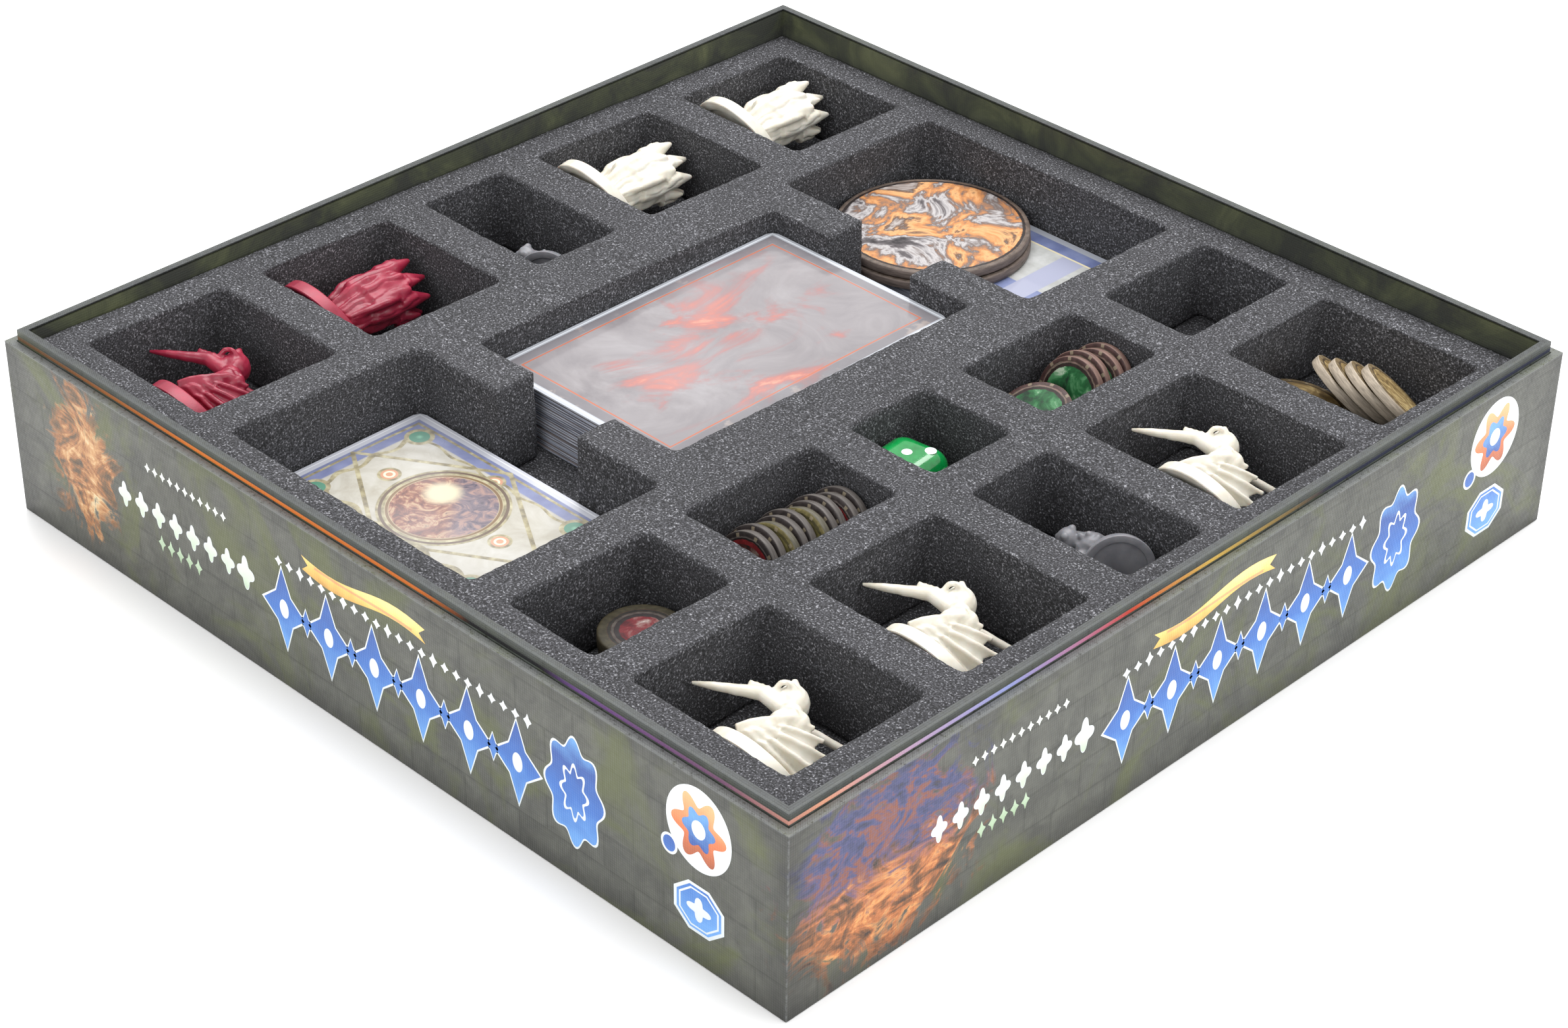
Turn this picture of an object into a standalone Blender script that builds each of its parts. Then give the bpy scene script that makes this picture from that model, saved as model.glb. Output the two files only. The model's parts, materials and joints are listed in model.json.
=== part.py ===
"""Foam insert organizer in a square game box, with the pieces that it stores.

An upturned lid holds the box base, the base holds flat printed parts, and on them lies a foam
tray with eighteen pockets.  Metres, +Z up.  The origin is the middle of the underside, the
front of the box looks along -Y and its right side along +X.
"""

from math import cos, pi, radians, sin

import bmesh
import bpy
from mathutils import Matrix, Vector

MM = 0.001

# ---- Driving dimensions, in millimetres ----
GAP = 0.3                 # clearance between touching pieces
LID_WIDTH = 250.0         # outside of the square lid
LID_HEIGHT = 45.5
BASE_RIM = 48.4           # height of the base's rim over the underside of the lid
WRAP = 0.35               # printed paper glued round the board
BOARD = 1.2               # greyboard
WALL = WRAP + GAP + BOARD
BASE_WIDTH = LID_WIDTH - 2 * WALL - 2 * GAP
BASE_BOTTOM = WALL + GAP
BASE_FLOOR = BASE_BOTTOM + WALL

BOOK_SIZE = (210.0, 148.0, 2.2)
SHEET_WIDTH = 228.0
SHEET_THICKNESS = 2.05
SHEET_COUNT = 4

FOAM_WIDTH = BASE_WIDTH - 2 * WALL - 2 * GAP
FOAM_TOP = 43.4
PAD_THICKNESS = 5.0
BOOK_BOTTOM = BASE_FLOOR + GAP
SHEETS_BOTTOM = BOOK_BOTTOM + BOOK_SIZE[2] + GAP
PAD_BOTTOM = SHEETS_BOTTOM + SHEET_COUNT * (SHEET_THICKNESS + GAP)
PAD_TOP = PAD_BOTTOM + PAD_THICKNESS
GRID_BOTTOM = PAD_TOP + GAP
REST = PAD_TOP + GAP      # height at which a stored piece lies in its pocket

# Columns of pockets across the box and rows from front to back
COLUMNS = {"a": (-112.0, -70.0), "c": (31.5, 57.5), "d": (68.0, 112.0)}
ROWS = [(-112.0, -73.5), (-62.5, -24.0), (-12.5, 12.5), (24.5, 63.0), (74.5, 112.0)]
MIDDLE = {
    "m1": (-59.5, 20.5, -112.0, -58.5),
    "m2": (-52.0, 13.0, -47.0, 48.0),
    "m3": (-59.5, 20.5, 60.0, 112.0),
}
NOTCH = (-32.5, -6.5)     # finger gap between the middle pockets, across the box
PAPER = 0.4               # one sleeved card

LARGE_CARD = (59.0, 91.0)
LARGE_STACK_TOP = 36.6
SMALL_CARD = (69.0, 45.0)
SMALL_STACK_TOP = 27.9
PACK_TOP = 25.2
BIG_DISC_RADIUS = 24.6
BIG_DISC_THICKNESS = 2.2

STACK_TOKEN_RADIUS = 9.6
STACK_TOKEN_COUNT = 3
STACK_TOP = 32.2
TOKEN_RADIUS = 9.2
TOKEN_THICKNESS = 2.0
FIGURE_BASE = (12.5, 3.0)       # radius and thickness
SMALL_BASE = (8.0, 2.4)
BASE_LEAN = 24            # degrees from upright, top edge against the pocket's front wall
DIE_EDGE = 16.0

PAPER_BLUE = (0.62, 0.62, 0.72, 1.0)
IVORY = (0.86, 0.82, 0.73, 1.0)
CRIMSON = (0.55, 0.02, 0.08, 1.0)
GREY = (0.22, 0.23, 0.24, 1.0)

for old in list(bpy.data.objects):
    bpy.data.objects.remove(old, do_unlink=True)

parts = bpy.data.collections.new("box_insert_organizer")
cutters = bpy.data.collections.new("cutters")
for collection in (parts, cutters):
    bpy.context.scene.collection.children.link(collection)


def material(name, colour, roughness=0.6, metallic=0.0):
    """A Principled material of one colour."""
    made = bpy.data.materials.new(name)
    made.use_nodes = True
    shader = made.node_tree.nodes["Principled BSDF"]
    shader.inputs["Base Color"].default_value = colour
    shader.inputs["Roughness"].default_value = roughness
    shader.inputs["Metallic"].default_value = metallic
    return made


def place(name, bm, look=None, collection=None):
    """Make an object from a bmesh whose units are millimetres."""
    bmesh.ops.scale(bm, vec=(MM, MM, MM), verts=bm.verts)
    mesh = bpy.data.meshes.new(name)
    bm.to_mesh(mesh)
    bm.free()
    made = bpy.data.objects.new(name, mesh)
    (collection or parts).objects.link(made)
    if look:
        mesh.materials.append(look)
    return made


def box_mesh(low, high):
    """A closed box between two corners."""
    bm = bmesh.new()
    low, high = Vector(low), Vector(high)
    bmesh.ops.create_cube(bm, size=1.0)
    bmesh.ops.scale(bm, vec=high - low, verts=bm.verts)
    bmesh.ops.translate(bm, vec=(low + high) / 2, verts=bm.verts)
    return bm


def box(name, low, high, look):
    return place(name, box_mesh(low, high), look)


def centred_box(name, width, depth, bottom, top, look):
    return box(name, (-width / 2, -depth / 2, bottom), (width / 2, depth / 2, top), look)


def cutter(name, bm):
    """A helper solid that the build leaves out."""
    made = place(name, bm, collection=cutters)
    made.hide_render = True
    made.display_type = "WIRE"
    return made


def boolean(target, other, operation="DIFFERENCE"):
    step = target.modifiers.new(other.name, "BOOLEAN")
    step.operation = operation
    step.solver = "EXACT"
    step.object = other


def bevel(target, width, segments=1, angle=35):
    step = target.modifiers.new("soft_edges", "BEVEL")
    step.width = width * MM
    step.segments = segments
    step.limit_method = "ANGLE"
    step.angle_limit = radians(angle)


def smooth(target, angle=35):
    target.data.shade_smooth()
    target.data.set_sharp_from_angle(angle=radians(angle))


def cylinder_mesh(start, end, radius_1, radius_2=None, segments=24):
    """A closed cylinder or cone from start to end."""
    start, end = Vector(start), Vector(end)
    axis = end - start
    turn = axis.to_track_quat("Z", "Y").to_matrix().to_4x4()
    bm = bmesh.new()
    bmesh.ops.create_cone(
        bm, cap_ends=True, segments=segments, radius1=radius_1,
        radius2=radius_1 if radius_2 is None else radius_2, depth=axis.length,
        matrix=Matrix.Translation((start + end) / 2) @ turn)
    return bm


def ellipsoid_mesh(centre, radii, turn=0.0):
    """A closed ellipsoid, turned about Z."""
    bm = bmesh.new()
    bmesh.ops.create_uvsphere(bm, u_segments=10, v_segments=7, radius=1.0)
    shape = Matrix.Rotation(radians(turn), 4, "Z") @ Matrix.Diagonal((*radii, 1.0))
    bmesh.ops.transform(bm, matrix=Matrix.Translation(centre) @ shape, verts=bm.verts)
    return bm


# ---- Box: board trays with a printed paper wrap over their rims ----

def open_tray(name, width, bottom, top, wall, look):
    """A square tray that is open at the top."""
    made = centred_box(name, width, width, bottom, top, look)
    inner = width / 2 - wall
    boolean(made, cutter(name + "_hollow",
                         box_mesh((-inner, -inner, bottom + wall), (inner, inner, top + 1))))
    return made


def wrapped_tray(prefix, width, bottom, top, board_look, wrap_look):
    """A board tray inside a paper skin that folds over the rim."""
    inset = WRAP + GAP
    open_tray(prefix + "_board", width - 2 * inset, bottom + inset, top - inset, BOARD, board_look)
    skin = centred_box(prefix + "_wrap", width, width, bottom, top, wrap_look)
    hollow = width / 2 - WRAP
    mouth = width / 2 - WALL
    boolean(skin, cutter(prefix + "_skin_hollow",
                         box_mesh((-hollow, -hollow, bottom + WRAP), (hollow, hollow, top - WRAP))))
    boolean(skin, cutter(prefix + "_mouth",
                         box_mesh((-mouth, -mouth, bottom + WRAP + 1), (mouth, mouth, top + 1))))


greyboard = material("greyboard", (0.36, 0.34, 0.31, 1.0), 0.9)
lid_paper = material("lid_printed_paper", (0.07, 0.075, 0.055, 1.0), 0.45)
base_paper = material("base_printed_paper", (0.13, 0.15, 0.15, 1.0), 0.45)
wrapped_tray("lid", LID_WIDTH, 0.0, LID_HEIGHT, greyboard, lid_paper)
wrapped_tray("base", BASE_WIDTH, BASE_BOTTOM, BASE_RIM, greyboard, base_paper)

# ---- Flat printed parts under the tray ----

centred_box("rule_book", BOOK_SIZE[0], BOOK_SIZE[1], BOOK_BOTTOM, BOOK_BOTTOM + BOOK_SIZE[2],
            material("book_paper", (0.55, 0.52, 0.45, 1.0), 0.5))
for number in range(SHEET_COUNT):
    bottom = SHEETS_BOTTOM + number * (SHEET_THICKNESS + GAP)
    centred_box(f"tile_sheet_{number + 1}", SHEET_WIDTH, SHEET_WIDTH, bottom,
                bottom + SHEET_THICKNESS, material("tile_board", (0.30, 0.27, 0.22, 1.0), 0.7))

# ---- Foam tray ----

foam = material("charcoal_foam", (0.055, 0.055, 0.06, 1.0), 0.95)
centred_box("foam_floor", FOAM_WIDTH, FOAM_WIDTH, PAD_BOTTOM, PAD_TOP, foam)
grid = centred_box("foam_grid", FOAM_WIDTH, FOAM_WIDTH, GRID_BOTTOM, FOAM_TOP, foam)
pockets = dict(MIDDLE)
for column, (x_low, x_high) in COLUMNS.items():
    for row, (y_low, y_high) in enumerate(ROWS, start=1):
        pockets[f"{column}{row}"] = (x_low, x_high, y_low, y_high)
for name, (x_low, x_high, y_low, y_high) in pockets.items():
    boolean(grid, cutter("pocket_" + name, box_mesh((x_low, y_low, GRID_BOTTOM - 1),
                                                    (x_high, y_high, FOAM_TOP + 1))))
for name, y_low, y_high in (("front", -59.0, -46.5), ("back", 47.5, 60.5)):
    boolean(grid, cutter("notch_" + name, box_mesh((NOTCH[0], y_low, GRID_BOTTOM - 1),
                                                   (NOTCH[1], y_high, FOAM_TOP + 1))))

# ---- Cards and large discs in the middle pockets ----

sleeve = material("card_sleeve", (0.55, 0.56, 0.60, 1.0), 0.2)
print_look = material("card_print", PAPER_BLUE, 0.3)


def card_stack(prefix, corner, size, top, top_look):
    """A block of sleeved cards with one loose card on it; corner is its left front corner."""
    x, y = corner
    width, depth = size
    box(prefix + "_stack", (x, y, REST), (x + width, y + depth, top - PAPER - GAP), sleeve)
    box(prefix + "_top", (x, y, top - PAPER), (x + width, y + depth, top), top_look)


large_print = material("large_card_print", (0.35, 0.16, 0.13, 1.0), 0.15)
card_stack("large_card", (MIDDLE["m2"][0] + 0.5, MIDDLE["m2"][3] - 0.5 - LARGE_CARD[1]),
           LARGE_CARD, LARGE_STACK_TOP, large_print)
card_stack("small_card", (MIDDLE["m1"][0] + 1.0, MIDDLE["m1"][3] - 1.0 - SMALL_CARD[1]),
           SMALL_CARD, SMALL_STACK_TOP, print_look)

pack_x = MIDDLE["m3"][1] - 1.0 - SMALL_CARD[0]
pack_y = MIDDLE["m3"][3] - 0.6 - SMALL_CARD[1]
box("card_pack", (pack_x, pack_y, REST), (pack_x + SMALL_CARD[0], pack_y + SMALL_CARD[1], PACK_TOP),
    print_look)
disc_look = material("disc_print", (0.45, 0.26, 0.12, 1.0), 0.4)
disc_bottom = PACK_TOP + GAP
for name, x, y in (("disc_lower", -33.4, 86.2), ("disc_upper", -34.2, 86.7)):
    disc = place(name, cylinder_mesh((x, y, disc_bottom), (x, y, disc_bottom + BIG_DISC_THICKNESS),
                                     BIG_DISC_RADIUS, segments=48), disc_look)
    bevel(disc, 0.3)
    smooth(disc)
    disc_bottom += BIG_DISC_THICKNESS + GAP

# ---- Round tokens ----


def pocket_corner(name):
    return pockets[name][0], pockets[name][2]


def token(name, centre, normal, radius, thickness, look):
    """A round cardboard token about its centre."""
    half = Vector(normal).normalized() * thickness / 2
    centre = Vector(centre)
    made = place(name, cylinder_mesh(centre - half, centre + half, radius, segments=28), look)
    smooth(made)
    return made


def low_point(normal, radius, thickness):
    """Height of a tilted token's centre over its lowest point."""
    up = abs(Vector(normal).normalized().z)
    return radius * (1 - up * up) ** 0.5 + thickness / 2 * up


stack_look = material("olive_token", (0.20, 0.17, 0.09, 1.0), 0.4)
stack_pitch = (STACK_TOP - REST + GAP) / STACK_TOKEN_COUNT
x, y = pocket_corner("c1")
for number in range(STACK_TOKEN_COUNT):
    height = REST + number * stack_pitch + (stack_pitch - GAP) / 2
    token(f"stacked_token_{number + 1}", (x + 12.9 + 0.4 * (number % 2), y + 25.6, height),
          (0, 0, 1), STACK_TOKEN_RADIUS, stack_pitch - GAP, stack_look)


def token_row(prefix, pocket, count, first_y, pitch, drift, lean, look):
    """Tokens that lean back on each other; lean is the angle from upright, in degrees."""
    x, y = pocket_corner(pocket)
    tilt = radians(lean)
    normal = (0.0, -cos(tilt), sin(tilt))
    height = REST + low_point(normal, TOKEN_RADIUS, TOKEN_THICKNESS)
    for number in range(count):
        sway = 0.9 * sin(2.1 * number)
        token(f"{prefix}_{number + 1}",
              (x + 12.8 - drift * number + sway, y + first_y - pitch * number, height),
              normal, TOKEN_RADIUS, TOKEN_THICKNESS, look)


token_row("row_token", "c2", 10, 34.0, 2.9, 0.16, 18,
          material("dark_token", (0.10, 0.09, 0.10, 1.0), 0.4))
marker_look = material("marker_token", (0.22, 0.10, 0.08, 1.0), 0.35)
token_row("marker_token", "c4", 4, 34.4, 3.1, 0.2, 20, marker_look)
x, y = pocket_corner("c4")
FLAT_NORMAL = Vector((0.0, -0.42, 0.91)).normalized()
token("marker_token_5",
      (x + 12.0, y + 12.6, REST + low_point(FLAT_NORMAL, TOKEN_RADIUS, TOKEN_THICKNESS) + 4.2),
      FLAT_NORMAL, TOKEN_RADIUS, TOKEN_THICKNESS, marker_look)

coin_look = material("coin_token", (0.34, 0.29, 0.23, 1.0), 0.6)
COIN_NORMAL = Vector((0.39, 0.557, 0.73)).normalized()
COIN_STEP = Vector((4.44, 0.18, 1.05))
COIN_RADIUS = 10.5
COIN_THICKNESS = 2.3
x, y = pocket_corner("d5")
first_coin = Vector((x + 17.9, y + 24.0, REST + low_point(COIN_NORMAL, COIN_RADIUS, COIN_THICKNESS)))
for number in range(4):
    token(f"coin_token_{number + 1}", first_coin + COIN_STEP * number, COIN_NORMAL,
          COIN_RADIUS, COIN_THICKNESS, coin_look)
LOW_COIN_NORMAL = Vector((0.12, 0.20, 0.97)).normalized()
token("coin_token_5",
      (x + 11.0, y + 17.8, REST + low_point(LOW_COIN_NORMAL, COIN_RADIUS, COIN_THICKNESS)),
      LOW_COIN_NORMAL, COIN_RADIUS, COIN_THICKNESS, coin_look)

# ---- Die ----

x, y = pocket_corner("c3")
die = place("die", box_mesh((-DIE_EDGE / 2,) * 3, (DIE_EDGE / 2,) * 3),
            material("die_green", (0.0, 0.42, 0.16, 1.0), 0.15))
die.location = Vector((x + 9.7, y + 9.2, REST + DIE_EDGE / 2)) * MM
die.rotation_euler.z = radians(6)
bevel(die, 2.6, segments=3, angle=60)
smooth(die, 60)

# ---- Figures lying in their pockets, each with its round base ----


def figure_base(name, pocket, at, look, size=FIGURE_BASE, lean=BASE_LEAN, turn=0.0):
    """A turned base with a hollow underside, standing on its edge on the pocket's floor.

    at is the middle of the underside in the pocket.  The underside faces -Y, turned by turn
    degrees about Z, and the top edge leans towards that side by lean degrees."""
    radius, thick = size
    tilt = radians(lean)
    profile = [(0.0, thick), (radius - 0.5, thick), (radius, thick - 0.8), (radius, 0.0),
               (radius - 1.0, 0.0), (radius - 1.6, 0.9), (0.0, 0.9)]
    bm = bmesh.new()
    corners = [bm.verts.new((r, 0.0, z)) for r, z in profile]
    for first, second in zip(corners, corners[1:]):
        bm.edges.new((first, second))
    made = place(name, bm, look)
    turned = made.modifiers.new("turned", "SCREW")
    turned.steps = turned.render_steps = 24
    turned.use_merge_vertices = True
    turned.merge_threshold = 0.00001
    x, y = pocket_corner(pocket)
    height = REST + radius * cos(tilt) + thick * max(0.0, -sin(tilt))
    made.location = Vector((x + at[0], y + at[1], height)) * MM
    made.rotation_euler = (tilt - radians(90), 0.0, radians(turn))
    return made


def shell_mesh(points, faces):
    """An open surface through the given points."""
    bm = bmesh.new()
    corners = [bm.verts.new(point) for point in points]
    for face in faces:
        bm.faces.new([corners[index] for index in face])
    return bm


def join(name, origin, solids, look):
    """One body from overlapping solids; the first solid carries the unions."""
    shift = Matrix.Translation(origin)
    body = None
    for number, bm in enumerate(solids):
        bmesh.ops.transform(bm, matrix=shift, verts=bm.verts)
        if body is None:
            body = place(name, bm, look)
        else:
            boolean(body, cutter(f"{name}_solid_{number}", bm), "UNION")
    return body


def wing_mesh():
    """A draped wing: a ribbed fan with a scalloped edge, as a closed thin solid."""
    thickness = 1.3
    hinge = [(20.4, 10.2, 17.4), (22.6, 15.4, 17.6), (25.0, 21.2, 16.6)]
    edge = [(31.0, 13.4, 8.0), (35.2, 14.4, 8.6), (33.6, 16.2, 10.2), (37.0, 17.8, 10.4),
            (33.4, 19.0, 12.0), (35.2, 21.2, 12.0), (31.6, 22.8, 13.6)]
    points = hinge + edge
    faces = [(0, 3, 1), (3, 4, 5, 1), (5, 6, 7, 1), (7, 8, 9, 1), (1, 9, 2)]
    bm = shell_mesh(points, faces)
    bmesh.ops.triangulate(bm, faces=bm.faces)
    bmesh.ops.recalc_face_normals(bm, faces=bm.faces)
    bmesh.ops.solidify(bm, geom=bm.faces[:], thickness=thickness)
    bmesh.ops.recalc_face_normals(bm, faces=bm.faces)
    return bm


def winged_figure(name, pocket, look):
    """A hooded creature on its side: one arm stretched out, one wing draped over it."""
    x, y = pocket_corner(pocket)
    origin = (x, y, REST)
    figure_base(name + "_base", pocket, (28.6, 5.9), look)
    solids = [
        cylinder_mesh((27.6, 12.4, 9.6), (24.0, 18.6, 11.4), 2.9, 4.6, 12),
        ellipsoid_mesh((23.0, 20.2, 12.0), (5.0, 5.6, 4.6), 35),
        ellipsoid_mesh((18.9, 26.4, 13.2), (4.0, 4.6, 3.8), 40),
        cylinder_mesh((17.8, 27.6, 13.6), (15.3, 31.2, 15.2), 3.2, 0.7, 10),
        cylinder_mesh((21.5, 23.0, 13.4), (12.6, 22.4, 15.0), 2.2, 1.7, 10),
        cylinder_mesh((13.4, 22.6, 14.9), (1.0, 16.2, 14.8), 1.8, 0.5, 10),
        cylinder_mesh((20.0, 24.0, 11.0), (36.0, 31.6, 4.6), 1.2, 0.8, 8),
        wing_mesh(),
    ]
    return join(name, origin, solids, look)


def ragged_figure(name, pocket, look):
    """A hooded creature on its side whose long cloak ends in torn points."""
    x, y = pocket_corner(pocket)
    origin = (x, y, REST)
    figure_base(name + "_base", pocket, (14.2, 5.9), look)
    start, end = Vector((15.6, 12.6, 9.6)), Vector((13.4, 24.0, 11.0))
    solids = [cylinder_mesh(start, end, 3.4, 7.2, 14)]
    for number in range(6):
        angle = 2 * pi * number / 6 + 0.3
        side = Vector((cos(angle), 0.0, sin(angle)))
        root = end + side * 5.0 - Vector((0, 1.5, 0))
        tip = end + side * 6.6 + Vector((0.8, 9.4 + 2.0 * sin(2 * angle), 0.6))
        solids.append(cylinder_mesh(root, tip, 2.4, 0.5, 8))
    return join(name, origin, solids, look)


def crouched_figure(name, pocket, base_at, turn, body_at, head_at, look):
    """A small hunched creature behind its small base."""
    figure_base(name + "_base", pocket, base_at, look, SMALL_BASE, -9, turn)
    middle = Vector(body_at)
    solids = [
        ellipsoid_mesh(middle, (4.6, 4.0, 4.4)),
        ellipsoid_mesh(head_at, (2.8, 2.5, 2.7)),
        cylinder_mesh(middle + Vector((1, 0, -1)), middle + Vector((5.0, 2.2, -4.2)), 1.8, 1.2, 8),
        cylinder_mesh(middle + Vector((-2, 0, -1)), middle + Vector((-6.0, -1.0, -3.6)), 1.6, 1.0, 8),
    ]
    x, y = pocket_corner(pocket)
    return join(name, (x, y, REST), solids, look)


ivory = material("ivory_plastic", IVORY, 0.45)
crimson = material("crimson_plastic", CRIMSON, 0.35)
grey = material("grey_plastic", GREY, 0.5)
winged_figure("winged_figure_a1", "a1", crimson)
ragged_figure("ragged_figure_a2", "a2", crimson)
crouched_figure("crouched_figure_a3", "a3", (31.8, 11.2), 27, (26.4, 17.2, 7.5), (22.0, 13.8, 10.6), grey)
ragged_figure("ragged_figure_a4", "a4", ivory)
ragged_figure("ragged_figure_a5", "a5", ivory)
winged_figure("winged_figure_d1", "d1", ivory)
winged_figure("winged_figure_d2", "d2", ivory)
crouched_figure("crouched_figure_d3", "d3", (28.6, 16.8), 48, (19.9, 18.9, 7.5), (13.8, 17.2, 8.8), grey)
winged_figure("winged_figure_d4", "d4", ivory)
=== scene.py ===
"""The looks of the foam box insert: foam, printed box, cards, tokens, die and figures.

Lengths in the modelling code are millimetres; objects are made in metres.
"""

import json
from math import atan2, cos, pi, radians, sin

import bmesh
import bpy
import numpy as np
from mathutils import Euler, Matrix, Vector, noise

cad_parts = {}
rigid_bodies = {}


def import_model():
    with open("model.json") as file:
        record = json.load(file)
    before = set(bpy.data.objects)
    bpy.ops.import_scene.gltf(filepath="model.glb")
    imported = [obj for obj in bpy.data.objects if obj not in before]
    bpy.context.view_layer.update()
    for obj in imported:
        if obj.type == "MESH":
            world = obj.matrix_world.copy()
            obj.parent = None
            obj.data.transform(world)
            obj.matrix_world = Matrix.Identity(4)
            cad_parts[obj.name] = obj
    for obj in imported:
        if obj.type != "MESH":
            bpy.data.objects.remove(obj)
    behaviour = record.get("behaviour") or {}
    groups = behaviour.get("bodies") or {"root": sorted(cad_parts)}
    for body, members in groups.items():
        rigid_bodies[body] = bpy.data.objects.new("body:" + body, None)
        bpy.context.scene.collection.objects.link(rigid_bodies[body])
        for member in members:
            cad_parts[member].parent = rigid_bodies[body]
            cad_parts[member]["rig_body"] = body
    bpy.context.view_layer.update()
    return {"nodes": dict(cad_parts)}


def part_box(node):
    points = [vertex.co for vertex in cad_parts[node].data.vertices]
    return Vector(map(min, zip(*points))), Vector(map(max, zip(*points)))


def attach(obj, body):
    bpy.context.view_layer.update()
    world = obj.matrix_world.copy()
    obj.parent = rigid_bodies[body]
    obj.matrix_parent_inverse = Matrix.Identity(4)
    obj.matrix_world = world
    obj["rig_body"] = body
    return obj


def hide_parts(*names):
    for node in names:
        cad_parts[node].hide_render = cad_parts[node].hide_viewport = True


MM = 0.001

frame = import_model()
scene = bpy.context.scene


# ---- Places taken from the frame ----

def box_mm(node):
    """A CAD node's lowest and highest corner in millimetres."""
    low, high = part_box(node)
    return low / MM, high / MM


def body_of(node):
    return frame["nodes"][node]["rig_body"]


LID_LOW, LID_HIGH = box_mm("lid_wrap")
BASE_LOW, BASE_HIGH = box_mm("base_wrap")
GRID_LOW, GRID_HIGH = box_mm("foam_grid")
HALF = LID_HIGH.x
RIM = LID_HIGH.z
PAD_TOP = GRID_LOW.z


# ---- Node materials ----

def srgb(red, green, blue):
    """A linear colour from the usual 0 to 255 values."""
    linear = []
    for value in (red, green, blue):
        share = value / 255
        linear.append(share / 12.92 if share <= 0.04045 else ((share + 0.055) / 1.055) ** 2.4)
    return (*linear, 1.0)


class Look:
    """A Principled material, and short ways to add nodes to it."""

    def __init__(self, name, roughness=0.5):
        self.material = bpy.data.materials.new(name)
        self.material.use_nodes = True
        self.tree = self.material.node_tree
        self.shader = self.tree.nodes["Principled BSDF"]
        self.shader.inputs["Roughness"].default_value = roughness

    def feed(self, socket, value):
        if isinstance(value, bpy.types.NodeSocket):
            self.tree.links.new(value, socket)
        else:
            socket.default_value = value

    def add(self, kind, inputs, **settings):
        """A new node; inputs maps a socket's name or number to a value or a socket."""
        node = self.tree.nodes.new("ShaderNode" + kind)
        for key, value in settings.items():
            setattr(node, key, value)
        for key, value in inputs.items():
            self.feed(node.inputs[key], value)
        return node

    def place(self):
        """Object coordinates in millimetres."""
        coordinates = self.add("TexCoord", {}).outputs["Object"]
        return self.add("VectorMath", {0: coordinates, "Scale": 1 / MM}, operation="SCALE").outputs[0]

    def split(self, vector):
        return self.add("SeparateXYZ", {0: vector}).outputs

    def vector(self, x, y, z=0.0):
        return self.add("CombineXYZ", {0: x, 1: y, 2: z}).outputs[0]

    def shift(self, vector, offset):
        return self.add("VectorMath", {0: vector, 1: offset}, operation="ADD").outputs[0]

    def stretch(self, vector, factors):
        return self.add("VectorMath", {0: vector, 1: factors}, operation="MULTIPLY").outputs[0]

    def level(self):
        """1 on faces that lie flat, and 0 on upright ones."""
        normal = self.add("NewGeometry", {}).outputs["Normal"]
        return self.fade(self.magnitude(self.split(normal)[2]), 0.7, 0.8)

    def length(self, vector):
        return self.add("VectorMath", {0: vector}, operation="LENGTH").outputs["Value"]

    def radius(self, vector):
        """Distance from the Z axis."""
        return self.length(self.stretch(vector, (1.0, 1.0, 0.0)))

    def noise(self, vector, scale, detail=3.0, rough=0.5, warp=0.0):
        inputs = {"Vector": vector, "Scale": scale, "Detail": detail, "Roughness": rough,
                  "Distortion": warp}
        return self.add("TexNoise", inputs).outputs["Fac"]

    def cells(self, vector, scale, feature="F1"):
        return self.add("TexVoronoi", {"Vector": vector, "Scale": scale},
                        feature=feature).outputs["Distance"]

    def math(self, operation, first, second=0.0):
        return self.add("Math", {0: first, 1: second}, operation=operation).outputs[0]

    def plus(self, first, second):
        return self.math("ADD", first, second)

    def minus(self, first, second):
        return self.math("SUBTRACT", first, second)

    def times(self, first, second):
        return self.math("MULTIPLY", first, second)

    def over(self, first, second):
        return self.math("DIVIDE", first, second)

    def magnitude(self, value):
        return self.math("ABSOLUTE", value)

    def sine(self, value):
        return self.math("SINE", value)

    def fade(self, value, start, end, low=0.0, high=1.0):
        """low at start and high at end, with a soft turn at both."""
        inputs = {"Value": value, "From Min": start, "From Max": end, "To Min": low, "To Max": high}
        return self.add("MapRange", inputs, interpolation_type="SMOOTHSTEP").outputs["Result"]

    def band(self, value, middle, half_width, soft):
        """1 within half_width of middle, and 0 further out."""
        away = self.magnitude(self.minus(value, middle))
        return self.fade(away, half_width + soft, half_width)

    def ramp(self, value, *stops):
        """A colour ramp; each stop is a position with a linear colour, or with 0 to 255 values."""
        node = self.add("ValToRGB", {0: value})
        ramp = node.color_ramp
        while len(ramp.elements) < len(stops):
            ramp.elements.new(0.5)
        for element, (position, *colour) in zip(ramp.elements, sorted(stops)):
            element.position = position
            element.color = srgb(*colour) if len(colour) == 3 else colour[0]
        return node.outputs["Color"]

    def mix(self, share, first, second, blend="MIX"):
        return self.add("Mix", {0: share, 6: first, 7: second}, data_type="RGBA",
                        blend_type=blend, clamp_factor=True).outputs[2]

    def shade(self, colour, factor):
        """A colour made lighter or darker by a number."""
        grey = self.add("CombineColor", {0: factor, 1: factor, 2: factor}).outputs[0]
        return self.mix(1.0, colour, grey, "MULTIPLY")

    def bump(self, height, depth):
        """Relief of a depth in millimetres."""
        inputs = {"Height": height, "Distance": depth * MM, "Strength": 1.0}
        return self.add("Bump", inputs).outputs["Normal"]

    def use(self, colour, roughness=None, normal=None, **fixed):
        """Connects the shader; fixed names sockets that are the same all over."""
        self.feed(self.shader.inputs["Base Color"], colour)
        if roughness is not None:
            self.feed(self.shader.inputs["Roughness"], roughness)
        if normal is not None:
            self.feed(self.shader.inputs["Normal"], normal)
        for name, value in fixed.items():
            socket = name.replace("_", " ").title().replace("Ior", "IOR")
            self.shader.inputs[socket].default_value = value
        return self.material


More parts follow.
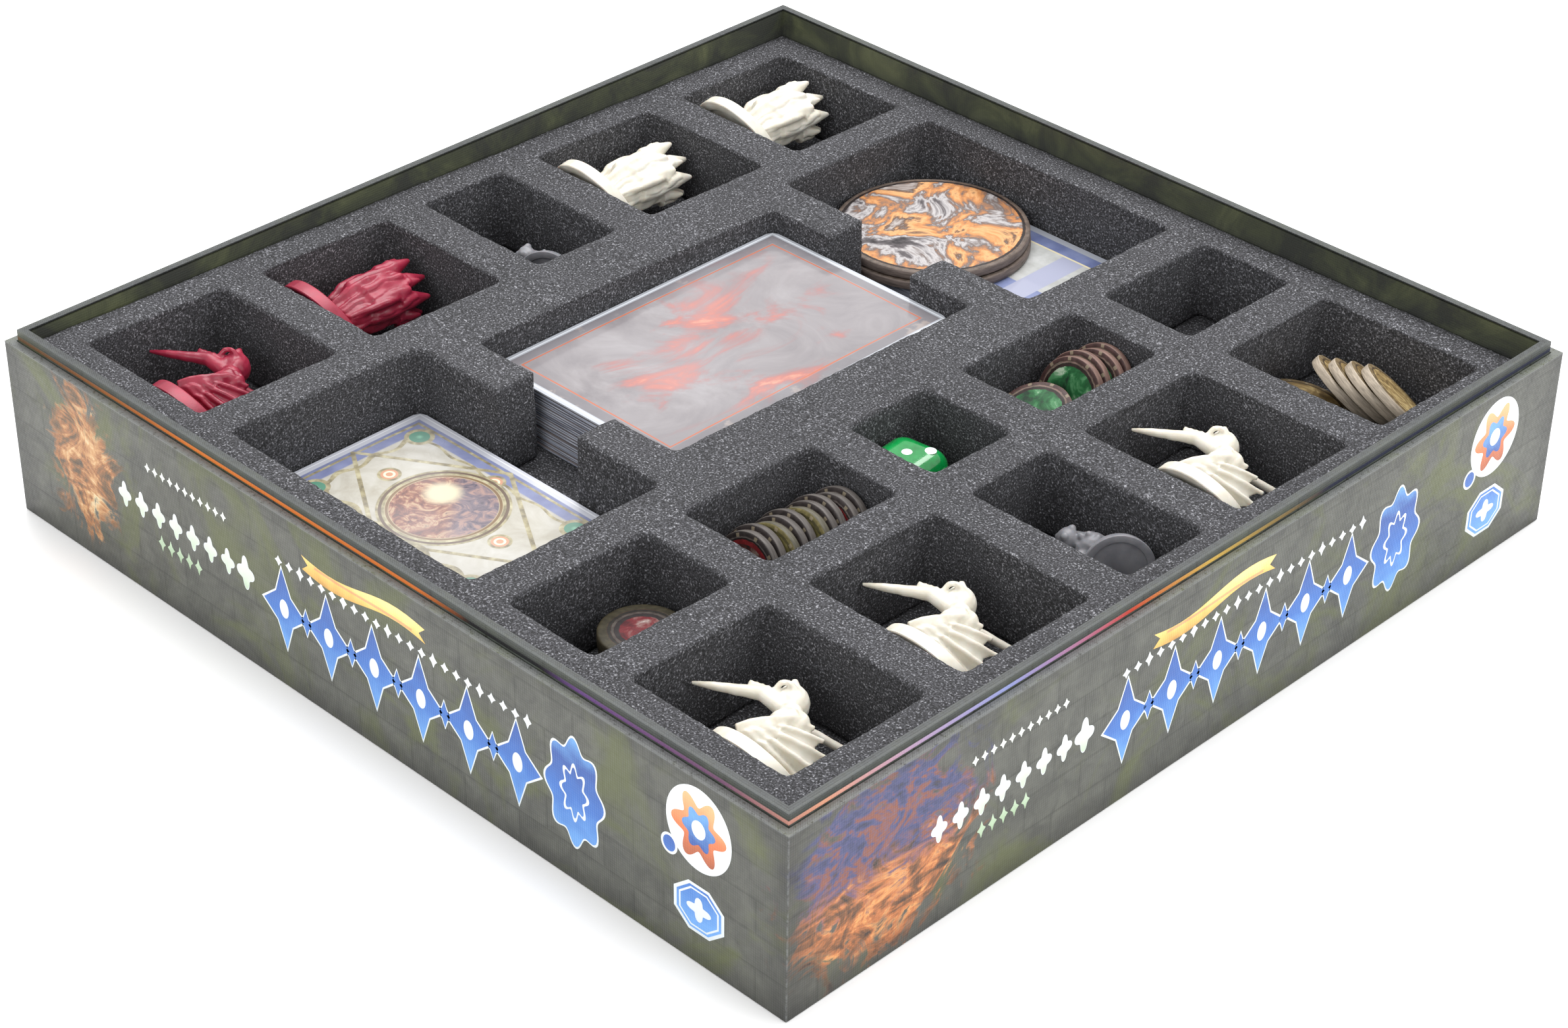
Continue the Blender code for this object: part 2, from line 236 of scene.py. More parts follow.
def foam_look():
    """Charcoal open-cell foam: cells of half a millimetre, with painted glints where the cut struts catch the
    light.
    """
    look = Look("charcoal_foam", 0.9)
    place = look.place()
    grain = look.noise(place, 2.3, 2.0, 0.65)
    cells = look.cells(place, 1.9)
    cloud = look.noise(place, 0.035, 3.0)
    value = look.plus(grain, look.times(cells, 0.16))
    # the palest ramp stop is painted glints on the cut struts; the others are the foam's own tones
    colour = look.ramp(value, (0.40, 36, 36, 37), (0.55, 56, 56, 58),
                       (0.68, 78, 78, 82), (0.80, 156, 156, 161))
    colour = look.shade(colour, look.fade(cloud, 0.3, 0.7, 0.94, 1.06))
    relief = look.bump(value, 0.2)
    return look.use(colour, 0.9, relief, specular_ior_level=0.25)


def around_box(look, place):
    """Distance along the sides, 0 at the front corner, with the height and the reach from the middle.

    The back pair of sides counts the other way from the back corner, so each repeats its opposite."""
    x, y, z = look.split(place)
    facing = look.math("SIGN", look.minus(x, y))
    along = look.times(look.plus(x, y), facing)
    reach = look.math("MAXIMUM", look.magnitude(x), look.magnitude(y))
    return along, z, reach


def stone_print(look, place, along, z, light, dark, moss):
    """Printed masonry with mottles and patches of moss, which also runs over the flat faces."""
    flat = look.add("Mix", {0: look.level(), 4: look.vector(along, z), 5: place},
                    data_type="VECTOR").outputs[1]
    wall = look.add("TexBrick", {"Vector": flat, "Color1": light, "Color2": dark,
                                 "Mortar": srgb(58, 59, 52), "Scale": 1.0, "Mortar Size": 0.55,
                                 "Mortar Smooth": 1.0, "Brick Width": 17.0, "Row Height": 8.5}).outputs[0]
    mottle = look.noise(flat, 0.16, 6.0, 0.65, 0.6)
    colour = look.shade(wall, look.fade(mottle, 0.25, 0.75, 0.62, 1.32))
    patches = look.noise(flat, 0.028, 4.0, 0.6, 1.5)
    spread = look.fade(patches, 0.48, 0.66, 0.0, 0.75)
    colour = look.mix(spread, colour, moss)
    return colour, flat


LINEN_PITCH = 0.62


def linen_relief(look, along, z, reach):
    """The fine woven grain pressed into the printed paper."""
    ribs = look.sine(look.times(along, 2 * pi / LINEN_PITCH))
    rows = look.sine(look.times(look.plus(z, reach), 2 * pi / LINEN_PITCH))
    return look.bump(look.plus(ribs, look.times(rows, 0.6)), 0.012)


def lid_paper_look():
    """The lid's printed sides: mossy masonry, painted clouds of colour at one end, worn edges."""
    look = Look("lid_printed_paper", 0.42)
    place = look.place()
    along, z, reach = around_box(look, place)
    colour, flat = stone_print(look, place, along, z, srgb(74, 75, 68), srgb(68, 69, 62), srgb(80, 86, 44))

    # painted clouds: gold and cream low on the front, violet and blue over gold on the right
    stroke = look.noise(flat, 0.075, 5.0, 0.62, 2.6)
    fine = look.noise(look.stretch(flat, (0.6, 1.3, 1.0)), 0.11, 5.0, 0.6, 2.2)
    value = look.plus(look.times(stroke, 0.55), look.times(fine, 0.45))
    warm = look.ramp(value, (0.34, 46, 42, 32), (0.43, 96, 70, 40), (0.49, 150, 96, 50),
                     (0.55, 188, 142, 92), (0.62, 216, 198, 158), (0.7, 96, 92, 70))
    low_cool = look.ramp(value, (0.36, 40, 30, 24), (0.44, 112, 70, 36), (0.5, 176, 104, 54),
                         (0.56, 216, 152, 88), (0.62, 120, 66, 40), (0.7, 64, 48, 38))
    high_cool = look.ramp(value, (0.36, 30, 30, 34), (0.43, 44, 48, 84), (0.49, 62, 66, 108),
                          (0.54, 122, 66, 40), (0.6, 96, 78, 104), (0.68, 44, 52, 66))
    swirl = look.plus(z, look.times(look.minus(stroke, 0.5), 60.0))
    cool = look.mix(look.fade(swirl, 16.0, 28.0), low_cool, high_cool)
    ends = ((-HALF * 2 + 27.0, 25.0, 15.0, 25.0, warm, -0.16), (27.0, 26.0, 27.0, 25.0, cool, 0.0))
    for middle, height, half_width, half_height, paint, bias in ends:
        offset = look.shift(flat, (-middle, -height, 0.0))
        ball = look.length(look.stretch(offset, (1 / half_width, 1 / half_height, 0.0)))
        ragged = look.plus(ball, look.times(look.minus(stroke, 0.5), 2.2))
        ragged = look.minus(ragged, bias)
        colour = look.mix(look.fade(ragged, 1.02, 0.72), colour, paint)

    # the print darkens towards every edge
    near_corner = look.math("MINIMUM", look.magnitude(along),
                            look.minus(2 * HALF, look.magnitude(along)))
    near_corner = look.plus(near_corner, look.times(look.level(), 2 * HALF))
    frame_share = look.times(look.fade(near_corner, 0.0, 9.0, 0.55, 1.0),
                            look.fade(z, 0.0, 7.0, 0.6, 1.0))
    frame_share = look.times(frame_share, look.fade(z, RIM, RIM - 4.0, 0.72, 1.0))
    colour = look.shade(colour, frame_share)

    # worn edges show the light paper
    wear = look.noise(place, 0.9, 4.0, 0.7)
    rim = look.times(look.fade(z, RIM - 0.5, RIM - 0.1), look.fade(wear, 0.3, 0.5))
    corner = look.times(look.fade(near_corner, 0.45, 0.1), look.fade(wear, 0.4, 0.6))
    colour = look.mix(look.times(look.math("MAXIMUM", rim, corner), 0.4), colour,
                      srgb(128, 131, 132))
    roughness = look.fade(wear, 0.2, 0.8, 0.36, 0.5)
    return look.use(colour, roughness, linen_relief(look, along, z, reach), specular_ior_level=0.5)


def base_paper_look():
    """The base: grey-green outside with a thin painted line, nearly black inside."""
    look = Look("base_printed_paper", 0.42)
    place = look.place()
    along, z, reach = around_box(look, place)
    outside, flat = stone_print(look, place, along, z, srgb(84, 89, 84), srgb(78, 83, 78), srgb(84, 90, 66))
    line_colour = look.ramp(look.fade(along, -2 * HALF, 2 * HALF),
                            (0.0, 96, 70, 44), (0.05, 214, 120, 50), (0.2, 206, 112, 48),
                            (0.24, 20, 20, 22), (0.3, 22, 22, 24), (0.33, 104, 72, 128),
                            (0.45, 120, 84, 110), (0.53, 222, 158, 128), (0.6, 190, 160, 190),
                            (0.68, 150, 160, 214), (0.78, 196, 70, 50), (0.84, 206, 170, 84),
                            (0.92, 34, 38, 58))
    line = look.band(z, RIM + 0.8, 0.42, 0.15)
    outside = look.mix(line, outside, line_colour)
    inside = look.ramp(look.noise(flat, 0.05, 5.0, 0.6, 1.0), (0.4, 30, 32, 32),
                       (0.6, 46, 49, 42), (0.72, 60, 65, 48))
    outside = look.mix(look.fade(z, BASE_HIGH.z - 1.9, BASE_HIGH.z - 1.4, 0.0, 0.7), outside, inside)
    colour = look.mix(look.fade(reach, BASE_HIGH.x - 0.9, BASE_HIGH.x - 0.5), inside, outside)
    wear = look.noise(place, 1.1, 4.0, 0.7)
    rim = look.times(look.fade(z, BASE_HIGH.z - 0.4, BASE_HIGH.z - 0.1),
                    look.fade(wear, 0.35, 0.7, 0.1, 0.7))
    colour = look.mix(rim, colour, srgb(66, 70, 72))
    return look.use(colour, look.fade(wear, 0.2, 0.8, 0.36, 0.52), linen_relief(look, along, z, reach))


def lining_look():
    """The dark paper that lines the base, with a little of the print's moss near its rim."""
    look = Look("dark_lining", 0.5)
    place = look.place()
    along, z, reach = around_box(look, place)
    mottle = look.noise(place, 0.06, 6.0, 0.62, 1.0)
    plain = look.ramp(mottle, (0.35, 44, 45, 46), (0.65, 62, 64, 62))
    moss = look.ramp(mottle, (0.4, 52, 54, 48), (0.55, 68, 72, 54), (0.7, 88, 92, 66))
    colour = look.mix(look.fade(z, RIM - 9.0, RIM), plain, moss)
    return look.use(colour, 0.5, linen_relief(look, along, z, reach))


def greyboard_look():
    """Bare grey board with short fibres."""
    look = Look("greyboard", 0.9)
    place = look.place()
    fibres = look.noise(look.stretch(place, (1.0, 1.0, 4.0)), 1.4, 5.0, 0.7)
    colour = look.ramp(fibres, (0.3, 120, 116, 108), (0.7, 168, 163, 152))
    return look.use(colour, 0.9, look.bump(fibres, 0.05))


def page_look():
    """A stapled booklet: a mottled cover, and fine page lines at its edges."""
    look = Look("booklet_paper", 0.4)
    place = look.place()
    high = box_mm("rule_book")[1]
    x, y, z = look.split(place)
    reach = look.math("MAXIMUM", look.magnitude(x), look.magnitude(y))
    cover = look.ramp(look.noise(place, 0.02, 6.0, 0.6, 1.5), (0.3, 60, 66, 58),
                      (0.5, 120, 108, 80), (0.7, 176, 160, 122))
    border = look.band(reach, high.x - 9.0, 0.8, 0.3)
    cover = look.mix(border, cover, srgb(206, 180, 112))
    leaves = look.sine(look.times(z, 2 * pi / 0.22))
    pages = look.ramp(leaves, (0.0, 160, 152, 136), (1.0, 232, 226, 210))
    colour = look.mix(look.fade(reach, high.x - 0.3, high.x - 0.1), cover, pages)
    return look.use(colour, 0.4, look.bump(leaves, 0.02))


def tile_look():
    """A printed sheet of board with the outlines of its punched tiles."""
    look = Look("tile_board", 0.55)
    place = look.place()
    reach = look.math("MAXIMUM", *[look.magnitude(part) for part in list(look.split(place))[:2]])
    side = box_mm("tile_sheet_1")[1].x
    seams = look.add("TexBrick", {"Vector": place, "Color1": (1, 1, 1, 1), "Color2": (1, 1, 1, 1),
                                  "Mortar": (0, 0, 0, 1), "Scale": 1.0, "Mortar Size": 0.35,
                                  "Mortar Smooth": 0.2, "Brick Width": 56.0, "Row Height": 56.0},
                    offset=0.0).outputs[0]
    stones = look.cells(place, 0.09, "DISTANCE_TO_EDGE")
    ground = look.ramp(look.noise(place, 0.05, 6.0, 0.65, 1.0), (0.3, 62, 58, 44),
                       (0.5, 104, 98, 74), (0.7, 146, 136, 104))
    ground = look.shade(ground, look.fade(stones, 0.0, 0.16, 0.45, 1.0))
    ground = look.mix(seams, srgb(24, 22, 20), ground)
    grey = look.ramp(look.noise(place, 1.2, 3.0), (0.3, 120, 114, 104), (0.7, 166, 158, 146))
    colour = look.mix(look.fade(reach, side - 0.25, side - 0.1), ground, grey)
    return look.use(colour, 0.5, look.bump(look.fade(stones, 0.0, 0.1), 0.06))


def sleeve_edge_look():
    """A block of clear card sleeves: pale blue layers at the sides, a hazy card on top."""
    look = Look("card_sleeve", 0.22)
    place = look.place()
    layer = look.noise(look.stretch(place, (0.04, 0.04, 3.0)), 1.6, 2.0, 0.6)
    colour = look.ramp(layer, (0.34, 92, 98, 112), (0.46, 150, 156, 172),
                       (0.58, 206, 210, 222), (0.7, 120, 126, 140))
    haze = look.ramp(look.noise(place, 0.05, 5.0, 0.6, 0.8), (0.3, 112, 108, 112),
                     (0.5, 132, 126, 128), (0.7, 150, 140, 138))
    colour = look.mix(look.level(), colour, haze)
    return look.use(colour, 0.22, look.bump(layer, 0.05), coat_weight=0.3)


def card_plane(look, node):
    """Coordinates from a card's middle in millimetres, and its half size."""
    low, high = box_mm(node)
    middle = (low + high) / 2
    offset = look.shift(look.place(), tuple(-middle))
    return offset, (high - low) / 2


def frame_distance(look, offset, half):
    """Distance in from a card's nearest edge."""
    x, y, _ = look.split(offset)
    from_side = look.minus(half.x, look.magnitude(x))
    from_end = look.minus(half.y, look.magnitude(y))
    return look.math("MINIMUM", from_side, from_end)


def large_card_look():
    """A dark sleeved card back: smoke with wisps of fire, inside a thin orange line."""
    look = Look("large_card_print", 0.16)
    offset, half = card_plane(look, "large_card_top")
    edge = frame_distance(look, offset, half)
    smoke = look.noise(offset, 0.045, 6.0, 0.6, 1.4)
    ground = look.ramp(smoke, (0.3, 118, 113, 116), (0.5, 134, 129, 131), (0.68, 148, 144, 146))
    wisp = look.noise(look.stretch(offset, (1.0, 0.5, 1.0)), 0.07, 5.0, 0.6, 0.9)
    glow = look.length(look.stretch(offset, (1 / 24, 1 / 36, 0.0)))
    heat = look.minus(wisp, look.times(glow, 0.13))
    fire = look.ramp(heat, (0.40, 136, 106, 106), (0.48, 158, 92, 88), (0.56, 184, 104, 88),
                     (0.66, 218, 160, 126))
    colour = look.mix(look.fade(heat, 0.38, 0.56, 0.0, 0.85), ground, fire)
    colour = look.mix(look.band(edge, 4.9, 0.16, 0.12), colour, srgb(176, 96, 66))
    colour = look.mix(look.fade(edge, 4.6, 4.2, 0.0, 0.6), colour, srgb(104, 102, 108))
    corner = look.noise(offset, 0.12, 4.0, 0.6)
    fleck = look.times(look.fade(edge, 4.4, 3.6), look.fade(corner, 0.56, 0.66))
    colour = look.mix(fleck, colour, srgb(150, 140, 136))
    colour = look.mix(look.fade(edge, 1.75, 1.5), colour, srgb(178, 182, 190))
    colour = look.mix(look.band(edge, 1.0, 0.12, 0.12), colour, srgb(226, 230, 236))
    # painted sheen: a pale haze of painted sleeve reflection is mixed into the print; the same noise sets the
    # sleeve's roughness and relief
    film_and_sheen = look.noise(offset, 0.03, 2.0)
    colour = look.mix(look.fade(film_and_sheen, 0.35, 0.75, 0.04, 0.2), colour, srgb(160, 158, 162))
    return look.use(colour, look.fade(film_and_sheen, 0.3, 0.7, 0.12, 0.24), look.bump(film_and_sheen, 0.35),
                    coat_weight=0.6, coat_roughness=0.08)


def small_card_look():
    """A cream card with a lavender border, gold filigree and a round painted medallion."""
    look = Look("small_card_print", 0.2)
    offset, half = card_plane(look, "small_card_top")
    edge = frame_distance(look, offset, half)
    x, y, _ = look.split(offset)
    radius = look.radius(offset)
    paper = look.ramp(look.noise(offset, 0.12, 5.0, 0.6, 0.8), (0.3, 164, 158, 142),
                      (0.55, 184, 180, 168), (0.75, 196, 194, 186))
    lavender = look.ramp(look.noise(offset, 0.2, 4.0), (0.3, 96, 104, 146), (0.7, 126, 134, 172))
    gold = look.ramp(look.noise(offset, 0.5, 3.0), (0.3, 112, 102, 74), (0.5, 152, 142, 106),
                     (0.7, 188, 180, 146))
    colour = look.mix(look.fade(edge, 7.0, 6.4), paper, lavender)

    # scrolls of gold that run with the border and sweep round the medallion
    scroll = look.plus(edge, look.times(look.sine(look.times(x, 0.55)), 0.7))
    scroll = look.plus(scroll, look.times(look.sine(look.times(y, 0.62)), 0.7))
    colour = look.mix(look.band(scroll, 7.6, 0.45, 0.2), colour, gold)
    diamond = look.plus(look.magnitude(look.times(x, 0.62)), look.magnitude(y))
    colour = look.mix(look.band(diamond, 19.5, 0.5, 0.25), colour, gold)
    colour = look.mix(look.band(edge, 3.7, 0.3, 0.15), colour, gold)

    # small round badges on the two axes
    for across, up in ((18.6, 0.0), (-18.6, 0.0), (0.0, 14.6), (0.0, -14.6)):
        gap = look.radius(look.shift(offset, (-across, -up, 0.0)))
        colour = look.mix(look.fade(gap, 2.9, 2.6), colour, gold)
        colour = look.mix(look.fade(gap, 2.1, 1.9), colour, srgb(196, 142, 110))
        colour = look.mix(look.band(gap, 1.1, 0.2, 0.15), colour, srgb(240, 226, 190))

    strokes = look.noise(offset, 0.2, 6.0, 0.62, 2.2)
    reds = look.ramp(strokes, (0.32, 78, 46, 38), (0.44, 120, 70, 54), (0.52, 152, 104, 78),
                     (0.6, 186, 156, 122), (0.7, 104, 76, 66))
    blues = look.ramp(strokes, (0.32, 70, 62, 72), (0.46, 108, 96, 106), (0.6, 160, 130, 120))
    scene_paint = look.mix(look.fade(look.plus(y, x), -1.0, 6.0), reds, blues)
    burst = look.radius(look.shift(offset, (4.5, -3.5, 0.0)))
    scene_paint = look.mix(look.fade(burst, 5.6, 2.4), scene_paint, srgb(206, 196, 166))
    colour = look.mix(look.fade(radius, 15.2, 14.9), colour, gold)
    colour = look.mix(look.band(radius, 14.1, 0.28, 0.15), colour, srgb(92, 70, 46))
    colour = look.mix(look.fade(radius, 13.2, 12.9), colour, srgb(184, 172, 138))
    colour = look.mix(look.fade(radius, 12.3, 12.0), colour, scene_paint)
    colour = look.mix(look.band(radius, 12.6, 0.25, 0.15), colour, srgb(120, 92, 54))

    # green gems in the corners
    corner = look.vector(look.minus(look.magnitude(x), half.x - 8.4),
                         look.minus(look.magnitude(y), half.y - 7.4))
    gap = look.length(corner)
    colour = look.mix(look.fade(gap, 3.6, 3.4), colour, gold)
    colour = look.mix(look.fade(gap, 2.5, 2.3), colour,
                      look.ramp(gap, (0.0, 120, 180, 150), (1.0, 70, 132, 106)))
    colour = look.mix(look.fade(edge, 2.6, 2.3), colour, srgb(196, 198, 208))
    colour = look.mix(look.band(edge, 1.0, 0.12, 0.12), colour, srgb(232, 234, 240))
    # painted sheen: a pale haze of painted sleeve reflection is mixed into the print; the same noise sets the
    # sleeve's roughness and relief
    film_and_sheen = look.noise(offset, 0.04, 2.0)
    colour = look.mix(look.fade(film_and_sheen, 0.35, 0.8, 0.1, 0.3), colour, srgb(176, 177, 184))
    return look.use(colour, look.fade(film_and_sheen, 0.3, 0.7, 0.14, 0.28), look.bump(film_and_sheen, 0.3),
                    coat_weight=0.5, coat_roughness=0.1)


def card_pack_look():
    """A pale card with a blue border and plain panels, in a clear sleeve."""
    look = Look("card_pack_print", 0.22)
    offset, half = card_plane(look, "card_pack")
    edge = frame_distance(look, offset, half)
    x, y, z = look.split(offset)
    grain = look.noise(offset, 0.3, 4.0)
    colour = look.ramp(grain, (0.3, 166, 167, 164), (0.7, 190, 191, 190))
    blue = look.ramp(look.noise(offset, 0.15, 4.0), (0.3, 92, 102, 144), (0.7, 128, 138, 176))
    colour = look.mix(look.band(y, -6.0, 4.4, 0.4), colour, blue)
    colour = look.mix(look.band(x, 12.0, 3.2, 0.3), colour, srgb(160, 163, 184))
    colour = look.mix(look.fade(edge, 6.4, 6.0), colour, blue)
    colour = look.mix(look.band(edge, 6.2, 0.25, 0.1), colour, srgb(214, 204, 170))
    colour = look.mix(look.fade(edge, 2.2, 1.9), colour, srgb(172, 176, 186))
    layer = look.noise(look.stretch(offset, (0.04, 0.04, 3.0)), 1.6, 2.0, 0.6)
    sides = look.ramp(layer, (0.35, 120, 124, 138), (0.65, 214, 216, 226))
    colour = look.mix(look.fade(z, half.z - 0.3, half.z - 0.15), sides, colour)
    return look.use(colour, 0.22, look.bump(look.noise(offset, 0.05, 2.0), 0.25), coat_weight=0.4)


def disc_look(name, rings, paint, edge, dots=0, dot_radius=0.0, pattern_scale=0.2, warp=1.0):
    """A printed cardboard disc lying in its own XY plane.

    rings are (outer radius, 0 to 255 values), from the widest in; paint fills the rest as ramp stops."""
    look = Look(name, 0.4)
    place = look.place()
    seed = look.add("ObjectInfo", {}).outputs["Random"]
    spot = look.shift(place, look.vector(look.times(seed, 90.0), 0.0, look.times(seed, 40.0)))
    x, y, _ = look.split(place)
    radius = look.radius(place)
    ragged = look.plus(radius, look.times(look.minus(look.noise(spot, 0.9, 3.0), 0.5), 0.5))
    colour = look.ramp(look.noise(spot, pattern_scale, 6.0, 0.62, warp), *paint)
    inner = 0.0
    for outer, *paint_colour in reversed(rings):
        mottle = look.fade(look.noise(spot, 0.7, 4.0, 0.6), 0.25, 0.75, 0.6, 1.35)
        mottled = look.shade(srgb(*paint_colour), mottle)
        if inner:
            band = look.times(look.fade(ragged, inner - 0.1, inner + 0.1),
                             look.fade(ragged, outer + 0.1, outer - 0.1))
            colour = look.mix(band, colour, mottled)
        inner = outer
    if dots:
        turn = look.math("ARCTAN2", y, x)
        wave = look.math("COSINE", look.times(turn, float(dots)))
        near = look.band(radius, dot_radius, 0.32, 0.2)
        colour = look.mix(look.times(near, look.fade(wave, 0.8, 0.93, 0.0, 0.6)), colour, srgb(150, 138, 116))
    top = rings[0][0]
    layers = look.noise(look.stretch(place, (0.25, 0.25, 2.4)), 1.1, 4.0, 0.65)
    side = look.ramp(layers, (0.3, scaled(edge, 0.55)), (0.5, edge), (0.7, scaled(edge, 1.35)))
    colour = look.mix(look.fade(radius, top - 0.28, top - 0.12), colour, side)
    relief = look.bump(layers, 0.06)
    return look.use(colour, look.fade(look.noise(spot, 0.4, 3.0), 0.3, 0.7, 0.45, 0.6), relief,
                    specular_ior_level=0.3)


def scaled(colour, factor):
    """A linear colour times a number."""
    return (*[min(1.0, part * factor) for part in colour[:3]], 1.0)


MILK_DEPTH = 1.2         # how far light goes into the plastic


def plastic_look(name, light, deep, roughness, shine=0.0, milk=0.12):
    """Moulded plastic: a little translucent, paler where the surface has been handled."""
    look = Look(name, roughness)
    place = look.place()
    cloud = look.noise(place, 0.22, 4.0, 0.55)
    colour = look.ramp(cloud, (0.3, deep), (0.7, light))
    pores = look.noise(place, 3.0, 3.0)
    return look.use(colour, look.fade(cloud, 0.3, 0.7, roughness - 0.06, roughness + 0.08),
                    look.bump(pores, 0.02), coat_weight=shine, subsurface_weight=milk,
                    subsurface_scale=MILK_DEPTH * MM)


def print_ink_look(name, stops, low, high):
    """Printed ink that grades with height, with a little mottle."""
    look = Look(name, 0.4)
    place = look.place()
    height = look.split(place)[2]
    share = look.over(look.minus(height, low), high - low)
    share = look.plus(share, look.times(look.minus(look.noise(place, 0.25, 5.0), 0.5), 0.35))
    colour = look.ramp(share, *stops)
    along, z, reach = around_box(look, place)
    return look.use(colour, 0.4, linen_relief(look, along, z, reach))


# ---- Mesh helpers ----

def add_object(name, bm, looks, body, stands_for=(), matrix=None, smooth=35):
    """An object from a bmesh in millimetres, which rides on a body."""
    bmesh.ops.scale(bm, vec=(MM, MM, MM), verts=bm.verts)
    mesh = bpy.data.meshes.new(name)
    bm.to_mesh(mesh)
    bm.free()
    return finish_object(name, mesh, looks, body, stands_for, matrix, smooth)


def finish_object(name, mesh, looks, body, stands_for=(), matrix=None, smooth=35):
    """An object from a mesh in metres, which rides on a body."""
    made = bpy.data.objects.new(name, mesh)
    scene.collection.objects.link(made)
    if not mesh.materials:
        for look in looks:
            mesh.materials.append(look)
    if matrix is not None:
        made.matrix_world = matrix
    if smooth:
        mesh.shade_smooth()
        mesh.set_sharp_from_angle(angle=radians(smooth))
    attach(made, body)
    if stands_for:
        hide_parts(*stands_for)
    return made


def bake_modifiers(made):
    """Replaces an object's mesh with the result of its modifiers."""
    graph = bpy.context.evaluated_depsgraph_get()
    mesh = bpy.data.meshes.new_from_object(made.evaluated_get(graph))
    old = made.data
    made.modifiers.clear()
    made.data = mesh
    bpy.data.meshes.remove(old)
    return made


def remeshed(bm, voxel, passes):
    """One skin round overlapping solids, as a mesh in metres; the bmesh is in millimetres."""
    bmesh.ops.scale(bm, vec=(MM, MM, MM), verts=bm.verts)
    mesh = bpy.data.meshes.new("lump")
    bm.to_mesh(mesh)
    bm.free()
    lump = bpy.data.objects.new("lump", mesh)
    scene.collection.objects.link(lump)
    skin = lump.modifiers.new("skin", "REMESH")
    skin.mode = "VOXEL"
    skin.voxel_size = voxel * MM
    soften = lump.modifiers.new("soften", "SMOOTH")
    soften.factor = 0.5
    soften.iterations = passes
    bake_modifiers(lump)
    result = lump.data
    bpy.data.objects.remove(lump)
    return result


def wander(point, scale, seed=0.0):
    """Smooth noise between -1 and 1 at a point."""
    return noise.noise(Vector((point.x * scale + seed, point.y * scale - seed, point.z * scale + 2 * seed)))


def skin_between(bm, first, second, closed=True):
    """The faces between two rows of as many vertices; closed joins their ends too."""
    count = len(first)
    return [bm.faces.new((first[k], first[(k + 1) % count], second[(k + 1) % count], second[k]))
            for k in range(count if closed else count - 1)]


def loft(bm, rows, closed=True, caps=True):
    """A skin over rows of points that all have the same number of points."""
    rings = [[bm.verts.new(point) for point in row] for row in rows]
    for first, second in zip(rings, rings[1:]):
        skin_between(bm, first, second, closed)
    if caps:
        bm.faces.new(list(reversed(rings[0])))
        bm.faces.new(rings[-1])


def lathe(bm, profile, segments, rough=None):
    """A skin round the Z axis through (radius, height) points, from the top down; gives its rings."""
    rings = []
    for radius, height in profile:
        ring = []
        for k in range(segments):
            angle = 2 * pi * k / segments
            reach = radius + (rough(angle, radius, height) if rough else 0.0)
            ring.append(bm.verts.new((cos(angle) * reach, sin(angle) * reach, height)))
        rings.append(ring)
    for first, second in zip(rings, rings[1:]):
        skin_between(bm, second, first)
    return rings


def merge(bm, other):
    """Adds a bmesh to another and frees it."""
    temp = bpy.data.meshes.new("part")
    other.to_mesh(temp)
    other.free()
    bm.from_mesh(temp)
    bpy.data.meshes.remove(temp)


def limb(bm, path, radii, sides=12):
    """A rounded tube through the points of path."""
    points = [Vector(point) for point in path]
    rows = []
    for index, point in enumerate(points):
        before = points[max(index - 1, 0)]
        after = points[min(index + 1, len(points) - 1)]
        turn = (after - before).to_track_quat("Z", "Y")
        row = []
        for step in range(sides):
            angle = 2 * pi * step / sides
            spoke = turn @ Vector((cos(angle), sin(angle), 0.0)) * radii[index]
            row.append(point + spoke)
        rows.append(row)
    loft(bm, rows)


def ball(bm, centre, radii, turn=(0.0, 0.0, 0.0), detail=16):
    """An ellipsoid, turned by Euler angles in degrees."""
    rotation = Euler([radians(angle) for angle in turn]).to_matrix().to_4x4()
    matrix = Matrix.Translation(centre) @ rotation @ Matrix.Diagonal((*radii, 1.0))
    bmesh.ops.create_uvsphere(bm, u_segments=detail, v_segments=detail // 2, radius=1.0, matrix=matrix)


# ---- Foam ----

FOAM = foam_look()
GRID_VOXEL = 1.0
PAD_VOXEL = 1.8
FOAM_SLOPE_X = 0.0016
FOAM_SLOPE_Y = -0.0175
FOAM_GRAIN = 0.16        # height of the millimetre grain
FOAM_SWELL = 0.35        # how far the walls wander over centimetres


def foam_top_shift(x, y):
    """How far the tray's top lies from its nominal height: it sinks towards the back."""
    return FOAM_SLOPE_X * x + FOAM_SLOPE_Y * y


def soft_foam(node, voxel, tilt):
    """A foam piece with softly rounded cut edges and an uneven surface."""
    source = frame["nodes"][node]
    mesh = source.data.copy()
    made = bpy.data.objects.new(node + "_soft", mesh)
    scene.collection.objects.link(made)
    skin = made.modifiers.new("skin", "REMESH")
    skin.mode = "VOXEL"
    skin.voxel_size = voxel * MM
    bake_modifiers(made)
    low, high = box_mm(node)
    for vertex in made.data.vertices:
        point = vertex.co / MM
        share = (point.z - low.z) / (high.z - low.z)
        if tilt:
            point.z += max(0.0, share) * foam_top_shift(point.x, point.y)
        grain = Vector((wander(point, 0.9), wander(point, 0.9, 7.0), wander(point, 0.9, 13.0)))
        swell = Vector((wander(point, 0.07, 3.0), wander(point, 0.07, 5.0), 0.0))
        point += grain * FOAM_GRAIN + swell * FOAM_SWELL
        point.z = max(point.z, low.z)
        vertex.co = point * MM
    made.data.materials.clear()
    made.data.materials.append(FOAM)
    made.data.shade_smooth()
    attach(made, body_of(node))
    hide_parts(node)
    return made


soft_foam("foam_grid", GRID_VOXEL, True)
soft_foam("foam_floor", PAD_VOXEL, False)


# ---- Box, booklet and tile sheets: the CAD shapes with soft edges and printed looks ----

